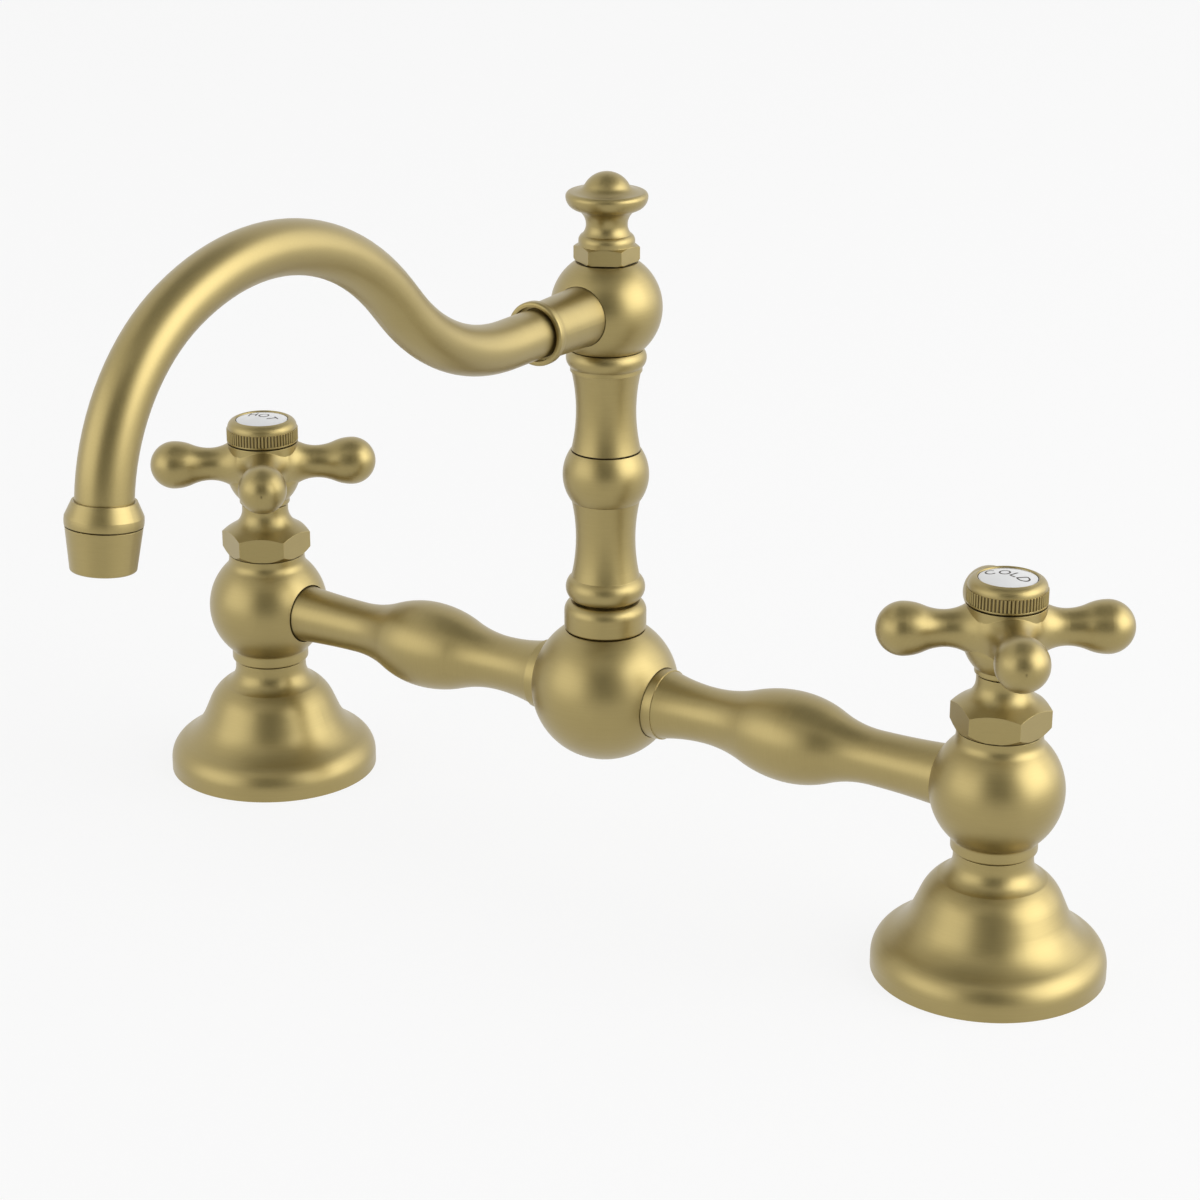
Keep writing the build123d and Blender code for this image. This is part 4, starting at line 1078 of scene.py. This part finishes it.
@dataclass
class Studio:
    """Pale floor, white surround, soft lamps, grey cards and the camera."""

    aim: Point = (0.0, 0.0, 0.075)
    image: int = 1200
    focal: float = 2969.5203        # in pixels of the photograph
    yaw: float = 33.7320            # degrees, from -Y towards +X
    pitch: float = 20.3442          # degrees, looking down
    roll: float = -0.1715           # degrees
    stand: Point = (0.356006, -0.535419, 0.303593)
    sensor: float = 36.0            # millimetres
    clip: Range = (0.05, 50.0)
    floor_reach: float = 6.0
    floor_grey: float = 0.82
    floor_white: float = 0.86       # share of plain white in what is seen of the floor
    light: float = 0.55             # strength of the surround on the object
    seen_light: float = 0.96        # strength of the surround where it is seen
    softboxes: tuple[Softbox, ...] = (
        Softbox("key", (0.880, 0.190, 0.430), 1.6, 1.45, 1.20, 10.0),
        Softbox("key_spread", (0.800, 0.420, 0.380), 1.7, 2.9, 1.9, 19.0),
        Softbox("fill", (-0.489, -0.847, 0.208), 1.6, 1.6, 1.4, 7.0),
    )
    cards: tuple[Card, ...] = (
        Card("front_card", (0.53, -0.79, 0.31), 1.7, 1.7, 1.9, 0.22),
        Card("top_card", (0.10, 0.02, 0.99), 1.7, 1.9, 1.9, 0.40),
    )

    def build(self) -> None:
        """Set up floor, world, lamps, cards and camera."""
        bpy.context.scene.view_settings.view_transform = "Standard"
        self.lay_floor()
        self.light_world()
        for softbox in self.softboxes:
            self.hang(softbox)
        for card in self.cards:
            self.stand_card(card)
        self.place_camera()

    def seen_directly(self, board: Board) -> bpy.types.NodeSocket:
        """Tell what is seen from the light that falls on things.

        Args:
            board: the tree that asks.

        Returns:
            1 for rays from the camera, off metal and through glass, and 0 for others.
        """
        path = board.add("ShaderNodeLightPath").outputs
        direct = board.math("ADD", path["Is Camera Ray"], path["Is Glossy Ray"])
        return board.math("ADD", direct, path["Is Transmission Ray"], clamp=True)

    def lay_floor(self) -> None:
        """Plain pale floor that keeps the object's shadow."""
        paint = Paint("pale floor")
        diffuse = paint.add("ShaderNodeBsdfDiffuse", {"Color": grey(self.floor_grey)}).outputs[0]
        glow = paint.add("ShaderNodeEmission", {"Color": WHITE, "Strength": 1.0}).outputs[0]
        share = paint.math("MULTIPLY", self.seen_directly(paint), self.floor_white)
        mixed = paint.add("ShaderNodeMixShader", {0: share, 1: diffuse, 2: glow}).outputs[0]
        paint.add("ShaderNodeOutputMaterial", {"Surface": mixed})
        size = Matrix.Diagonal((self.floor_reach, self.floor_reach, 1.0, 1.0))
        flat_piece("floor", size, paint.material)

    def light_world(self) -> None:
        """White surround for what sees it directly, and a plain level of light for the rest."""
        world = bpy.data.worlds.new("studio")
        bpy.context.scene.world = world
        world.use_nodes = True
        board = Board(world.node_tree)
        board.tree.nodes.clear()
        strength = board.spread(self.seen_directly(board), self.light, self.seen_light)
        surround = board.add("ShaderNodeBackground", {"Color": WHITE, "Strength": strength})
        board.add("ShaderNodeOutputWorld", {"Surface": surround.outputs[0]})

    def hang(self, softbox: Softbox) -> None:
        """Hang one soft lamp.

        Args:
            softbox: its place, size and strength.
        """
        data = bpy.data.lights.new(softbox.name, "AREA")
        data.shape = "RECTANGLE"
        data.size = softbox.wide
        data.size_y = softbox.high
        data.energy = softbox.watts
        lamp = bpy.data.objects.new(softbox.name, data)
        bpy.context.scene.collection.objects.link(lamp)
        lamp.matrix_world = softbox.facing(self.aim)
        lamp.visible_camera = False

    def stand_card(self, card: Card) -> None:
        """Stand one card out of the camera's sight.

        Args:
            card: its place, size and shade.
        """
        paint = Paint(card.name)
        shader = paint.add("ShaderNodeBsdfDiffuse", {"Color": grey(card.grey)}).outputs[0]
        paint.add("ShaderNodeOutputMaterial", {"Surface": shader})
        size = Matrix.Diagonal((card.wide / 2, card.high / 2, 1.0, 1.0))
        piece = flat_piece(card.name, card.facing(self.aim) @ size, paint.material)
        piece.visible_camera = False

    def place_camera(self) -> None:
        """Camera at the photograph's viewpoint."""
        data = bpy.data.cameras.new("camera")
        data.sensor_width = self.sensor
        data.lens = self.focal / self.image * self.sensor
        data.clip_start, data.clip_end = self.clip
        camera = bpy.data.objects.new("camera", data)
        bpy.context.scene.collection.objects.link(camera)
        across, down = radians(self.yaw), radians(self.pitch)
        back = Vector((sin(across) * cos(down), -cos(across) * cos(down), sin(down)))
        right = Vector((0.0, 0.0, 1.0)).cross(back).normalized()
        turn = Matrix((right, back.cross(right), back)).transposed().to_4x4()
        roll = Matrix.Rotation(radians(-self.roll), 4, "Z")
        camera.matrix_world = Matrix.Translation(self.stand) @ turn @ roll
        bpy.context.scene.camera = camera


def main() -> None:
    """Dress the faucet and set up the studio."""
    logging.basicConfig(level=logging.INFO, format="%(name)s %(message)s")
    finishes = Finishes()
    for side in Side:
        Valve(side, finishes).build()
    Bridge(finishes).build()
    Spout(finishes).build()
    Studio().build()


if __name__ == "__main__":
    main()
